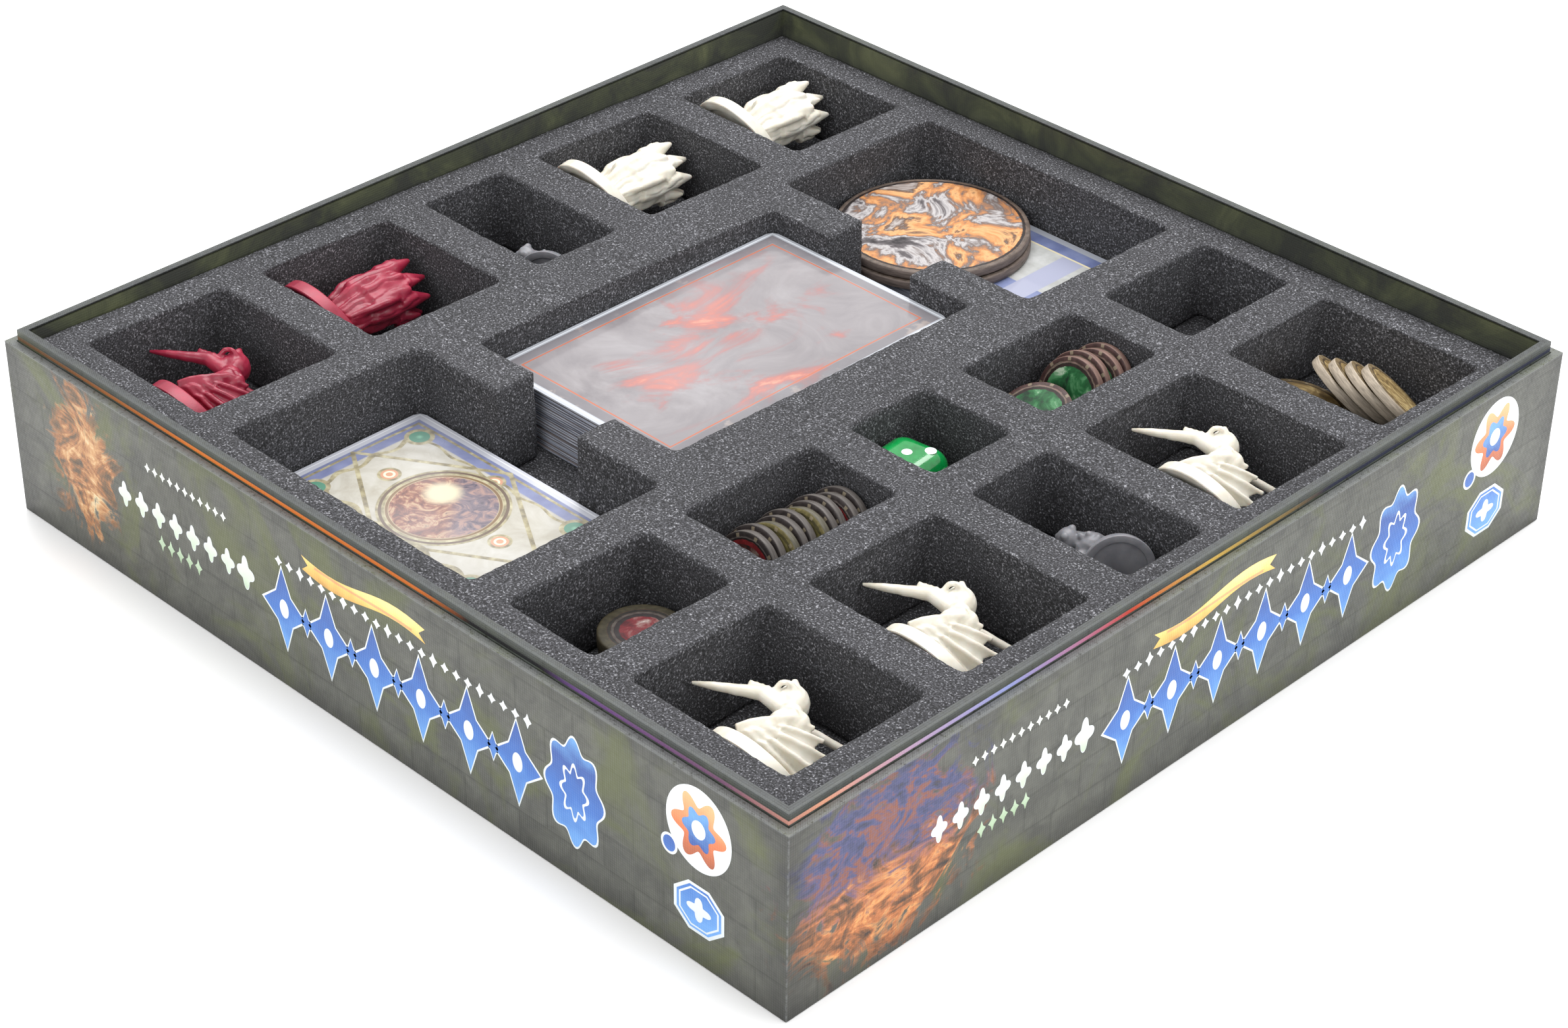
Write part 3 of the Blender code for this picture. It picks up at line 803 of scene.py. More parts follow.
def dress(node, look, edge=0.0, segments=2):
    """Gives a CAD node its look and, with a width in millimetres, rounded edges."""
    made = frame["nodes"][node]
    made.data.materials.clear()
    made.data.materials.append(look)
    if edge:
        soft = made.modifiers.new("soft_edges", "BEVEL")
        soft.width = edge * MM
        soft.segments = segments
        soft.limit_method = "ANGLE"
        soft.angle_limit = radians(40)
        soft.harden_normals = True


BOARD = greyboard_look()
LID_PAPER = lid_paper_look()
BASE_PAPER = base_paper_look()
dress("lid_board", BOARD)
dress("base_board", lining_look())
dress("lid_wrap", LID_PAPER, 0.16, 3)
dress("base_wrap", BASE_PAPER, 0.16, 3)
dress("rule_book", page_look(), 0.25, 3)
TILES = tile_look()
for number in range(1, 5):
    dress(f"tile_sheet_{number}", TILES, 0.15)


# ---- Printed ornaments on the four sides of the lid ----

INK_LIFT = 0.02          # how far a printed layer stands off the paper
INK_LAYER = 0.012
SINK = 0.01              # how far its underside lies in the paper


def star_outline(half_width, half_height, points=4, waist=0.36):
    """A star with hollow sides, as (u, v) points."""
    outline = []
    for index in range(points * 2):
        angle = pi / points * index + pi / 2
        reach = 1.0 if index % 2 == 0 else waist
        outline.append((cos(angle) * reach * half_width, sin(angle) * reach * half_height))
    return outline


def disc_outline(half_width, half_height, steps=40):
    """An ellipse."""
    return [(cos(2 * pi * k / steps) * half_width, sin(2 * pi * k / steps) * half_height)
            for k in range(steps)]


def petal_outline(half_width, half_height, petals, depth, steps=96):
    """A rounded rosette."""
    outline = []
    for k in range(steps):
        angle = 2 * pi * k / steps
        reach = 1.0 - depth * (0.5 - 0.5 * cos(petals * angle))
        outline.append((cos(angle) * reach * half_width, sin(angle) * reach * half_height))
    return outline


def ribbon_outline(half_width, half_height, steps=14):
    """A waving banner with notched ends."""
    top = []
    bottom = []
    for k in range(steps + 1):
        u = -half_width + 2 * half_width * k / steps
        sway = 0.55 * half_height * sin(u / half_width * pi * 0.9)
        top.append((u, sway + half_height * 0.62))
        bottom.append((u, sway - half_height * 0.62))
    notch = half_height * 0.7
    return top + [(half_width - notch, top[-1][1] - half_height * 0.6)] + bottom[::-1] + \
        [(-half_width + notch, bottom[0][1] + half_height * 0.6)]


def stamp(bm, outline, centre, layer, look_index):
    """A thin printed shape on the lid's front side, at (x, z) in millimetres."""
    rows = [[bm.verts.new((centre[0] + u, SINK - HALF - depth, centre[1] + v)) for u, v in outline]
            for depth in (0.0, INK_LIFT + layer * INK_LAYER)]
    faces = [bm.faces.new(rows[1]), bm.faces.new(list(reversed(rows[0])))]
    for face in faces + skin_between(bm, *rows):
        face.material_index = look_index


WHITE_INK = print_ink_look("white_ink", [(0.0, 196, 204, 206), (1.0, 226, 230, 232)], 0, RIM)
BLUE_INK = print_ink_look("blue_ink", [(0.1, 96, 150, 212), (0.45, 52, 104, 180),
                                       (0.75, 40, 78, 150), (1.0, 96, 150, 206)], 7.0, 37.0)
GOLD_INK = print_ink_look("gold_ink", [(0.2, 176, 126, 50), (0.5, 222, 180, 92),
                                       (0.8, 240, 212, 138)], 31.0, 42.0)
ORANGE_INK = print_ink_look("orange_ink", [(0.1, 150, 74, 40), (0.5, 214, 116, 66),
                                           (0.9, 236, 168, 116)], 24.0, 42.0)
PALE_INK = print_ink_look("pale_green_ink", [(0.1, 150, 176, 140), (0.6, 204, 218, 200),
                                             (1.0, 226, 232, 224)], 12.0, 32.0)
INKS = [WHITE_INK, BLUE_INK, GOLD_INK, ORANGE_INK, PALE_INK]
WHITE, BLUE, GOLD, ORANGE, PALE = range(len(INKS))


def outlined(bm, shape, centre, size, layer, fill, border=0.55):
    """A shape with a white outline: the white one lies under the coloured one."""
    stamp(bm, shape(size[0] + border, size[1] + border), centre, layer, WHITE)
    stamp(bm, shape(size[0], size[1]), centre, layer + 1, fill)


def side_ornaments():
    """The frieze, banner, dotted lines and badges of one side, drawn on the front."""
    bm = bmesh.new()

    # a frieze of blue lozenges that starts with a large rosette
    outlined(bm, lambda w, h: petal_outline(w, h, 8, 0.2), (65.5, 22.5), (8.6, 13.6), 0, BLUE)
    stamp(bm, petal_outline(4.4, 7.4, 8, 0.3), (65.5, 22.5), 2, WHITE)
    stamp(bm, petal_outline(3.6, 6.4, 8, 0.3), (65.5, 22.5), 3, BLUE)
    for index in range(6):
        u = 48.5 - index * 15.0
        outlined(bm, lambda w, h: star_outline(w, h, 4, 0.5), (u, 20.8), (6.9, 10.6), 0, BLUE, 0.8)
        stamp(bm, disc_outline(1.5, 2.4), (u, 20.8), 2, WHITE)
        if index < 5:
            outlined(bm, lambda w, h: star_outline(w, h, 4, 0.6), (u - 7.5, 20.8), (1.7, 3.4), 0, BLUE, 0.5)

    # a gold banner over it, and lines of small lozenges
    stamp(bm, ribbon_outline(20.0, 2.9), (1.0, 37.2), 1, GOLD)
    stamp(bm, ribbon_outline(16.0, 0.5), (1.0, 37.2), 2, ORANGE)
    for index in range(23):
        u = 52.0 - index * 3.6
        stamp(bm, star_outline(1.25, 1.35 if index % 4 else 1.9, 4, 0.55), (u, 33.0), 0, WHITE)
    for index in range(8):
        u = -39.5 - index * 6.2
        size = 2.1 if index else 2.8
        outlined(bm, lambda w, h: petal_outline(w, h, 4, 0.42), (u, 23.8), (size, size * 1.5), 0, PALE, 0.25)
    for index in range(11):
        stamp(bm, star_outline(1.0, 1.3, 4, 0.5), (-46.0 - index * 2.7, 35.2), 0, PALE)
    for index in range(5):
        stamp(bm, star_outline(1.3, 2.2, 4, 0.5), (-57.0 - index * 3.3, 16.6), 0, PALE)

    # a round badge, and a small plate under it
    stamp(bm, disc_outline(9.0, 10.0, 56), (101.0, 33.4), 0, WHITE)
    stamp(bm, petal_outline(7.6, 8.6, 6, 0.38), (101.0, 33.4), 1, ORANGE)
    stamp(bm, petal_outline(4.6, 5.2, 6, 0.3), (101.0, 33.4), 2, BLUE)
    stamp(bm, disc_outline(1.9, 2.2), (101.0, 33.4), 3, WHITE)
    stamp(bm, disc_outline(2.3, 2.5), (92.8, 25.6), 1, WHITE)
    stamp(bm, disc_outline(1.7, 1.9), (92.8, 25.6), 2, BLUE)
    plate = [(cos(pi / 4 * k + pi / 8), sin(pi / 4 * k + pi / 8)) for k in range(8)]
    for size, layer, ink in ((7.6, 0, WHITE), (6.7, 1, BLUE), (6.0, 2, WHITE), (5.5, 3, BLUE)):
        stamp(bm, [(u * size, v * size * 0.86) for u, v in plate], (101.0, 13.6), layer, ink)
    stamp(bm, petal_outline(3.4, 3.0, 4, 0.5), (101.0, 13.6), 4, WHITE)
    return bm


for quarter, side_name in enumerate(("front", "right", "back", "left")):
    add_object(f"{side_name}_print", side_ornaments(), INKS, "lid", smooth=0,
               matrix=Matrix.Rotation(radians(90 * quarter), 4, "Z"))


# ---- Cards ----

def round_card(bm, half_x, half_y, corner, low, high, bend=None):
    """A card with round corners and a fine grid, so that it can bow."""
    columns, rows = 14, 20
    bm_rows = []

    def height(x, y):
        return bend(x, y) if bend else 0.0

    for level in (low, high):
        grid = []
        for i in range(columns + 1):
            line = []
            for j in range(rows + 1):
                x = (2 * i / columns - 1) * half_x
                y = (2 * j / rows - 1) * half_y
                over = Vector((max(0.0, abs(x) - (half_x - corner)), max(0.0, abs(y) - (half_y - corner))))
                if over.length > corner:
                    over = over.normalized() * corner
                    x = (half_x - corner + over.x) * (1 if x > 0 else -1)
                    y = (half_y - corner + over.y) * (1 if y > 0 else -1)
                line.append(bm.verts.new((x, y, level + height(x, y))))
            grid.append(line)
        bm_rows.append(grid)
    under, over = bm_rows
    for i in range(columns):
        for j in range(rows):
            bm.faces.new((over[i][j], over[i + 1][j], over[i + 1][j + 1], over[i][j + 1]))
            bm.faces.new((under[i][j], under[i][j + 1], under[i + 1][j + 1], under[i + 1][j]))
    rims = []
    for grid in (under, over):
        rims.append([grid[i][0] for i in range(columns + 1)]
                    + [grid[columns][j] for j in range(1, rows + 1)]
                    + [grid[i][rows] for i in range(columns - 1, -1, -1)]
                    + [grid[0][j] for j in range(rows - 1, 0, -1)])
    skin_between(bm, *rims)


SLEEVE_PITCH = 0.62
SLEEVE_MARGIN = 0.5      # how far the piled cards lie inside the CAD block
SLEEVE_CORNER = 2.0
CARD_CORNER = 2.2


def sleeve_stack(node, look, seed):
    """A pile of single sleeved cards, each a little out of line."""
    low, high = box_mm(node)
    middle = (low + high) / 2
    half = (high - low) / 2
    count = int((high.z - low.z) / SLEEVE_PITCH)
    bm = bmesh.new()
    for index in range(count):
        jog = Vector((noise.noise((index * 1.7, 0.3, seed)),
                      noise.noise((0.7, index * 1.3, 4.0)))) * 0.7
        piece = bmesh.new()
        bottom = low.z + index * (high.z - low.z) / count
        round_card(piece, half.x - SLEEVE_MARGIN, half.y - SLEEVE_MARGIN, SLEEVE_CORNER,
                   bottom, bottom + SLEEVE_PITCH * 0.6)
        bmesh.ops.translate(piece, vec=(middle.x + jog.x, middle.y + jog.y, 0.0), verts=piece.verts)
        merge(bm, piece)
    return add_object(node + "_sleeves", bm, [look], body_of(node), (node,))


def top_card(node, look, bow):
    """One loose sleeved card that bows a little and ripples at its edge."""
    low, high = box_mm(node)
    middle = (low + high) / 2
    half = (high - low) / 2

    def bend(x, y):
        return bow * (1 - (x / half.x) ** 2) * 0.5 + bow * 0.5 * (1 - (y / half.y) ** 2) \
            + 0.12 * noise.noise((x * 0.06, y * 0.06, bow))

    bm = bmesh.new()
    round_card(bm, half.x, half.y, CARD_CORNER, low.z, high.z, bend)
    bmesh.ops.translate(bm, vec=(middle.x, middle.y, 0.0), verts=bm.verts)
    return add_object(node + "_card", bm, [look], body_of(node), (node,))


SLEEVES = sleeve_edge_look()
sleeve_stack("large_card_stack", SLEEVES, 1)
sleeve_stack("small_card_stack", SLEEVES, 2)
top_card("large_card_top", large_card_look(), 0.5)
top_card("small_card_top", small_card_look(), 0.35)
dress("card_pack", card_pack_look(), 0.2, 3)


# ---- Discs, tokens and coins ----

def disc_frame(node):
    """A CAD disc's middle, radius and thickness in millimetres, and its turn from flat."""
    points = np.array([vertex.co for vertex in frame["nodes"][node].data.vertices]) / MM
    middle = (points.min(0) + points.max(0)) / 2
    axes = np.linalg.eigh(np.cov((points - middle).T))[1]
    normal = Vector(axes[:, 0])
    if normal.z < 0:
        normal = -normal
    heights = (points - middle) @ np.array(normal)
    flat = (points - middle) - np.outer(heights, np.array(normal))
    radius = float(np.linalg.norm(flat, axis=1).max())
    turn = Vector((0, 0, 1)).rotation_difference(normal).to_matrix().to_4x4()
    return Vector(middle), radius, float(heights.max() - heights.min()), turn


ROUND = 72               # segments round a disc or base


def disc_mesh(radius, thickness):
    """A punched cardboard disc with a crushed top edge and slightly bulging sides."""
    half = thickness / 2

    def rough(angle, reach, height):
        if reach < radius - 0.6:
            return 0.0
        return 0.05 * noise.noise((cos(angle) * 6, sin(angle) * 6, height * 2.0))

    profile = [(radius * 0.5, half), (radius - 0.9, half), (radius - 0.45, half - 0.03),
               (radius - 0.18, half - 0.12), (radius - 0.05, half - 0.3), (radius, 0.0),
               (radius - 0.03, -half + 0.25), (radius - 0.12, -half + 0.06), (radius - 0.3, -half),
               (radius * 0.5, -half)]
    bm = bmesh.new()
    rings = lathe(bm, profile, ROUND, rough)
    for ring, z, flip in ((rings[0], half, False), (rings[-1], -half, True)):
        hub = bm.verts.new((0.0, 0.0, z))
        for k in range(ROUND):
            corners = (ring[k], ring[(k + 1) % ROUND], hub)
            bm.faces.new(tuple(reversed(corners)) if flip else corners)
    return bm


def lay_disc(node, look, spin):
    """A fine disc where the CAD one lies, with its print turned by spin."""
    middle, radius, thickness, turn = disc_frame(node)
    matrix = Matrix.Translation(middle * MM) @ turn @ Matrix.Rotation(spin, 4, "Z")
    return add_object(node + "_disc", disc_mesh(radius, thickness), [look], body_of(node), (node,),
                      matrix, 40)


BIG_DISC = disc_look(
    "large_disc_print", [(24.6, 96, 84, 76), (23.4, 40, 32, 30), (22.6, 120, 92, 70)],
    [(0.32, 36, 32, 34), (0.39, 86, 80, 82), (0.44, 176, 172, 172), (0.48, 98, 86, 82),
     (0.53, 182, 122, 72), (0.58, 208, 156, 106), (0.63, 84, 62, 50), (0.7, 170, 162, 158)],
    srgb(112, 100, 94), pattern_scale=0.07, warp=0.6)
lay_disc("disc_lower", BIG_DISC, 0.7)
lay_disc("disc_upper", BIG_DISC, 2.4)

OLIVE_TOKEN = disc_look(
    "olive_token", [(9.6, 58, 53, 38), (7.4, 36, 33, 28), (6.6, 72, 67, 62),
                    (6.0, 32, 26, 26), (4.9, 98, 18, 26)],
    [(0.36, 66, 10, 18), (0.5, 104, 20, 28), (0.6, 128, 96, 92), (0.68, 180, 170, 164)],
    srgb(66, 60, 46), 0, 0.0, 0.16)
DARK_TOKEN = disc_look(
    "dark_token", [(9.2, 48, 42, 41), (8.0, 92, 87, 84), (7.7, 30, 25, 25),
                   (7.3, 116, 30, 34), (6.3, 34, 28, 28)],
    [(0.36, 34, 30, 30), (0.5, 78, 36, 34), (0.64, 126, 106, 96)],
    srgb(84, 79, 76), 10, 8.3, 0.25)
OLIVE_BACK = disc_look(
    "olive_token_back", [(9.2, 104, 96, 60), (8.2, 72, 67, 42), (7.5, 106, 98, 58)],
    [(0.36, 78, 73, 44), (0.5, 108, 101, 60), (0.66, 138, 130, 90)],
    srgb(86, 82, 70), 10, 8.3, 0.25)
MARKER_TOKEN = disc_look(
    "marker_token", [(9.2, 66, 46, 44), (8.0, 112, 90, 84), (7.6, 44, 32, 30),
                     (6.8, 36, 58, 44)],
    [(0.36, 22, 48, 32), (0.5, 36, 98, 54), (0.58, 80, 136, 92), (0.66, 166, 186, 162)],
    srgb(112, 88, 80), 10, 8.6, 0.16)
COIN_TOKEN = disc_look(
    "coin_token", [(10.5, 108, 92, 66), (9.2, 70, 58, 42), (8.6, 126, 104, 68)],
    [(0.34, 92, 74, 46), (0.5, 138, 116, 76), (0.64, 188, 168, 120)],
    srgb(164, 152, 136), 14, 9.6, 0.3)

for number in range(1, 4):
    lay_disc(f"stacked_token_{number}", OLIVE_TOKEN, number * 1.3)
for number in range(1, 11):
    face = OLIVE_BACK if number in (5, 8) else DARK_TOKEN
    lay_disc(f"row_token_{number}", face, number * 0.9)
for number in range(1, 6):
    lay_disc(f"marker_token_{number}", MARKER_TOKEN, number * 1.1)
    lay_disc(f"coin_token_{number}", COIN_TOKEN, number * 0.8)


# ---- Die ----

def die_mesh(half, corner, cuts=28):
    """A cube with round edges and corners."""
    bm = bmesh.new()
    bmesh.ops.create_cube(bm, size=2.0)
    bmesh.ops.subdivide_edges(bm, edges=bm.edges[:], cuts=cuts, use_grid_fill=True)
    core = half - corner
    for vertex in bm.verts:
        point = vertex.co * half
        inner = Vector([max(-core, min(core, part)) for part in point])
        away = point - inner
        vertex.co = inner + away.normalized() * corner if away.length > corner * 0.999 else point
    return bm


PIP_PLACES = {1: [(0, 0)], 2: [(-1, -1), (1, 1)], 3: [(-1, -1), (0, 0), (1, 1)],
              4: [(-1, -1), (1, 1), (-1, 1), (1, -1)], 5: [(-1, -1), (1, 1), (-1, 1), (1, -1), (0, 0)],
              6: [(-1, -1), (1, 1), (-1, 1), (1, -1), (-1, 0), (1, 0)]}
DIE_TURN = radians(6)
DIE_CORNER = 4.6
PIP_SPACING = 3.7
PIP_RADIUS = 1.45
PIP_DEPTH = 0.12


def lay_die():
    """The die, and a low round pip for each mark."""
    low, high = box_mm("die")
    half = (high.z - low.z) / 2
    middle = (low + high) / 2
    matrix = Matrix.Translation(middle * MM) @ Matrix.Rotation(DIE_TURN, 4, "Z")
    green = plastic_look("green_die", srgb(0, 150, 70), srgb(0, 112, 48), 0.14, 0.8, 0.1)
    add_object("die_body", die_mesh(half, DIE_CORNER), [green], "die", ("die",), matrix, 60)
    white = plastic_look("white_pip", srgb(240, 244, 240), srgb(222, 228, 222), 0.3)
    bm = bmesh.new()
    faces = [(Vector((0, 0, 1)), 3), (Vector((0, 0, -1)), 4), (Vector((1, 0, 0)), 5),
             (Vector((-1, 0, 0)), 2), (Vector((0, -1, 0)), 6), (Vector((0, 1, 0)), 1)]
    for normal, count in faces:
        turn = Vector((0, 0, 1)).rotation_difference(normal).to_matrix().to_4x4()
        for u, v in PIP_PLACES[count]:
            place = (turn @ Matrix.Translation((u * PIP_SPACING, v * PIP_SPACING, half - PIP_DEPTH / 2))
                     @ Matrix.Diagonal((PIP_RADIUS, PIP_RADIUS, PIP_DEPTH, 1)))
            bmesh.ops.create_uvsphere(bm, u_segments=20, v_segments=10, radius=1.0, matrix=place)
    add_object("die_pips", bm, [white], "die", (), matrix, 60)


lay_die()


# ---- Figures ----

IVORY = plastic_look("ivory_plastic", srgb(222, 219, 209), srgb(202, 195, 178), 0.45)
CRIMSON = plastic_look("crimson_plastic", srgb(156, 36, 62), srgb(124, 22, 46), 0.4, 0.05)
GREY = plastic_look("grey_plastic", srgb(142, 142, 146), srgb(116, 116, 122), 0.48)
FIGURE_VOXEL = 0.34
FINE_VOXEL = 0.3


def turned_base(figure, look):
    """A figure's round base where the CAD one stands, with a lip round its hollow underside."""
    node = figure + "_base"
    middle, radius, thick, turn = disc_frame(node)
    low, high = box_mm(figure)
    towards_figure = (low + high) / 2 - middle
    if (turn @ Vector((0, 0, 1))).dot(towards_figure) < 0:
        turn = turn @ Matrix.Rotation(pi, 4, "X")
    lip = radius * 0.22
    profile = [(radius - 1.3, thick), (radius - 0.8, thick - 0.08), (radius - 0.5, thick - 0.4),
               (radius - 0.1, 0.55), (radius - 0.02, 0.25), (radius - 0.2, 0.04), (radius - 0.5, 0.0),
               (radius - lip + 0.3, 0.0), (radius - lip, 0.15), (radius - lip - 0.2, 0.8),
               (radius * 0.4, 0.9)]
    bm = bmesh.new()
    rings = lathe(bm, profile, ROUND)
    bm.faces.new(rings[0])
    bm.faces.new(list(reversed(rings[-1])))
    matrix = Matrix.Translation(middle * MM) @ turn @ Matrix.Translation((0, 0, -thick / 2 * MM))
    return add_object(figure + "_foot", bm, [look], body_of(node), (node,), matrix, 40)


def wing_fan(bm, ribs, steps=10, between=8, thickness=0.6, ridge=1.3):
    """A pleated membrane over ribs, each a (start, bulge, end) curve; its free edge is scalloped."""
    curves = []
    for start, bulge, end in ribs:
        start, bulge, end = Vector(start), Vector(bulge), Vector(end)
        curves.append([start * (1 - t) ** 2 + bulge * 2 * t * (1 - t) + end * t * t
                       for t in [k / steps for k in range(steps + 1)]])
    top = []
    for first, second in zip(curves, curves[1:]):
        for step in range(between):
            share = step / between
            dip = sin(pi * share)
            line = []
            for k, (a, b) in enumerate(zip(first, second)):
                reach = k / steps
                point = a.lerp(b, share)
                inward = (first[0].lerp(second[0], share) - point) * 0.17 * dip * reach ** 3
                point = point + inward
                point.z += ridge * (0.4 - dip) * (0.35 + 0.65 * reach)
                line.append(point)
            top.append(line)
    top.append(curves[-1])
    shell = bmesh.new()
    loft(shell, top, closed=False, caps=False)
    bmesh.ops.recalc_face_normals(shell, faces=shell.faces)
    bmesh.ops.solidify(shell, geom=shell.faces[:], thickness=thickness)
    merge(bm, shell)
    for curve in curves:
        limb(bm, curve, [0.55 + 0.2 * (1 - k / steps) for k in range(steps + 1)], 8)


def pocket_corner(figure, offset):
    """The corner of the figure's pocket; offset leads from it to the CAD base's lowest corner."""
    low = box_mm(figure + "_base")[0]
    return Vector((low.x - offset[0], low.y - offset[1], PAD_TOP))


def hood_rim(bm, middle, view, half_width, half_height):
    """The turned edge of a hood, an oval that faces the view direction, round two plain lumps."""
    view = view.normalized()
    side = view.cross(Vector((0, 0, 1))).normalized()
    rise = side.cross(view)
    steps = 18
    path = []
    for k in range(steps + 1):
        angle = 2 * pi * k / steps
        path.append(middle + side * cos(angle) * half_width + rise * sin(angle) * half_height
                    - view * 0.5 * abs(cos(angle)))
    limb(bm, path, [0.62] * len(path), 8)
    ball(bm, middle - view * 1.1, (1.5, 1.5, 1.5))
    ball(bm, middle - view * 0.4 - rise * 0.2, (0.5, 0.5, 0.7), (0, 0, 0), 10)


def winged_mesh():
    """A hooded robed figure on its side: a sword arm to the left and a pleated wing to the right."""
    bm = bmesh.new()
    limb(bm, [(28.0, 12.6, 8.5), (27.0, 15.0, 9.6), (25.4, 18.0, 11.0), (24.0, 20.5, 12.0)],
         [3.4, 3.9, 4.4, 4.8], 20)
    ball(bm, (23.4, 20.6, 12.6), (4.6, 5.2, 4.2), (0, 0, 35))
    ball(bm, (24.9, 21.7, 15.2), (3.0, 2.6, 2.2))
    ball(bm, (22.0, 23.2, 14.4), (3.0, 2.4, 2.6))
    ball(bm, (18.7, 27.0, 13.6), (3.5, 4.8, 3.4), (0, 0, 48))
    ball(bm, (17.9, 25.4, 13.6), (2.2, 3.2, 3.0), (0, 0, 20))
    limb(bm, [(17.6, 28.0, 14.2), (16.5, 29.4, 15.0), (15.4, 30.9, 15.6)], [2.4, 1.6, 0.6], 12)
    hood_rim(bm, Vector((17.9, 25.2, 15.9)), Vector((0.3, -0.6, 0.74)), 2.3, 2.9)
    limb(bm, [(19.6, 24.0, 14.0), (16.6, 23.6, 14.8), (13.7, 23.2, 15.4), (11.4, 22.0, 15.4)],
         [2.0, 1.8, 1.6, 1.4], 14)
    for index in range(4):
        limb(bm, [(14.6 - 1.1 * index, 24.3 - 0.3 * index, 16.1),
                  (13.6 - 1.2 * index, 24.8 - 0.45 * index, 16.3)], [0.75, 0.55], 8)
    limb(bm, [(12.6, 22.6, 15.4), (9.1, 20.2, 15.5), (5.0, 18.0, 15.4), (0.9, 16.0, 15.0)],
         [1.5, 1.2, 0.9, 0.35], 12)
    limb(bm, [(21.0, 24.5, 11.0), (25.5, 27.6, 8.6), (31.0, 30.6, 5.8), (36.0, 33.0, 3.6)],
         [1.2, 1.0, 0.9, 0.8], 10)
    ribs = [((20.2, 10.6, 16.4), (25.0, 11.6, 14.0), (30.6, 13.4, 7.0)),
            ((20.6, 11.0, 16.8), (27.0, 12.2, 15.2), (34.6, 14.2, 8.6)),
            ((21.2, 12.0, 17.0), (28.5, 13.8, 15.8), (36.6, 17.4, 10.0)),
            ((22.0, 13.4, 17.2), (28.4, 16.0, 16.4), (34.9, 20.8, 11.6)),
            ((22.8, 15.2, 17.2), (27.6, 18.4, 16.8), (31.7, 22.5, 13.4)),
            ((23.8, 18.0, 17.0), (26.0, 20.4, 16.6), (28.4, 23.2, 14.6))]
    wing_fan(bm, ribs)
    limb(bm, [(19.6, 10.3, 16.2), (21.0, 12.9, 16.8), (23.2, 15.0, 17.0), (24.9, 21.7, 16.4)],
         [1.2, 1.4, 1.5, 1.6], 12)
    mesh = remeshed(bm, FINE_VOXEL, 1)
    view = Vector((0.3, -0.6, 0.74)).normalized()
    face = Vector((17.4, 24.6, 15.6))
    hood = Vector((18.7, 27.0, 13.6))
    for vertex in mesh.vertices:
        point = vertex.co / MM
        folds = 0.24 * sin(point.x * 2.2 - point.y * 1.5) if 19.0 < point.x < 26.5 and point.y < 23.0 else 0.0
        point += Vector((0.0, 0.0, folds + 0.15 * wander(point, 0.5)))
        crease = (point - hood).length < 5.4 and (point - face).length > 3.2 and point.y > 24.0
        point -= view * (0.2 * sin(point.x * 2.6 + point.z * 1.2) if crease else 0.0)
        vertex.co = point * MM
    return mesh


def ragged_mesh():
    """A bundled cloak that widens in a step from the base and ends in rounded torn points."""
    bm = bmesh.new()
    sides = 60
    rings = [(10.5, 14.8, 10.0, 4.6, 4.2), (14.0, 14.4, 10.4, 5.4, 5.0), (17.0, 13.9, 10.8, 5.6, 5.4),
             (18.0, 13.4, 11.0, 6.9, 6.2), (22.0, 13.2, 11.0, 7.3, 6.4), (26.0, 13.2, 11.0, 7.0, 6.2),
             (29.0, 13.4, 11.0, 6.4, 5.8)]
    rows = []
    for index, (y, x, z, wide, high) in enumerate(rings):
        row = []
        for k in range(sides):
            angle = 2 * pi * k / sides
            pleat = 1.0 + (0.035 + 0.008 * index) * cos(9 * angle + 0.25 * index) + 0.02 * cos(17 * angle)
            row.append((x + cos(angle) * wide * pleat, y + 0.8 * sin(2 * angle),
                        z + sin(angle) * high * pleat))
        rows.append(row)
    loft(bm, rows)
    fingers = [((10.6, 27.0, 14.4), (10.9, 31.5, 15.6), (11.0, 36.0, 16.0)),
               ((14.6, 27.0, 13.6), (15.2, 32.0, 13.6), (15.8, 36.6, 13.2)),
               ((18.2, 26.0, 11.4), (18.9, 30.5, 10.8), (19.6, 34.8, 10.2)),
               ((17.0, 26.0, 7.0), (17.8, 29.8, 6.5), (18.6, 33.0, 6.0)),
               ((12.0, 27.0, 7.0), (12.0, 31.0, 6.5), (12.0, 34.6, 6.0)),
               ((8.4, 26.0, 10.6), (8.0, 30.0, 10.8), (7.6, 33.4, 11.0))]
    for index, finger in enumerate(fingers):
        root, middle, tip = (Vector(point) for point in finger)
        limb(bm, [root, middle, tip], [2.9, 2.0, 0.5], 12)
        side = Vector((1.5 if index % 2 else -1.3, 0.0, 0.5))
        limb(bm, [root, middle + side - Vector((0, 0.8, 0)), tip * 0.4 + middle * 0.6 + side * 1.4],
             [2.2, 1.3, 0.4], 10)
    for ridge in ([(8.2, 13.5, 12.6), (7.4, 18.0, 14.0), (8.0, 23.0, 14.8), (9.8, 28.5, 15.4)],
                  [(12.6, 11.0, 14.2), (12.8, 16.0, 16.2), (13.4, 21.0, 17.4), (14.0, 26.5, 16.6)],
                  [(18.0, 11.5, 12.6), (19.6, 16.5, 13.6), (20.0, 21.5, 13.8), (18.8, 27.5, 12.6)]):
        limb(bm, ridge, [0.8, 1.1, 1.1, 0.9], 10)
    mesh = remeshed(bm, FIGURE_VOXEL, 2)
    for vertex in mesh.vertices:
        point = vertex.co / MM
        away = Vector((point.x - 13.6, 0.0, point.z - 11.0))
        if away.length > 0.5 and point.y < 31.0:
            turn = atan2(away.z, away.x) + 0.25 * wander(point, 0.2)
            groove = abs(sin(turn * 9.0)) ** 0.6
            point += away.normalized() * (0.4 * groove - 0.2 + 0.3 * wander(point, 0.35))
        vertex.co = point * MM
    return mesh


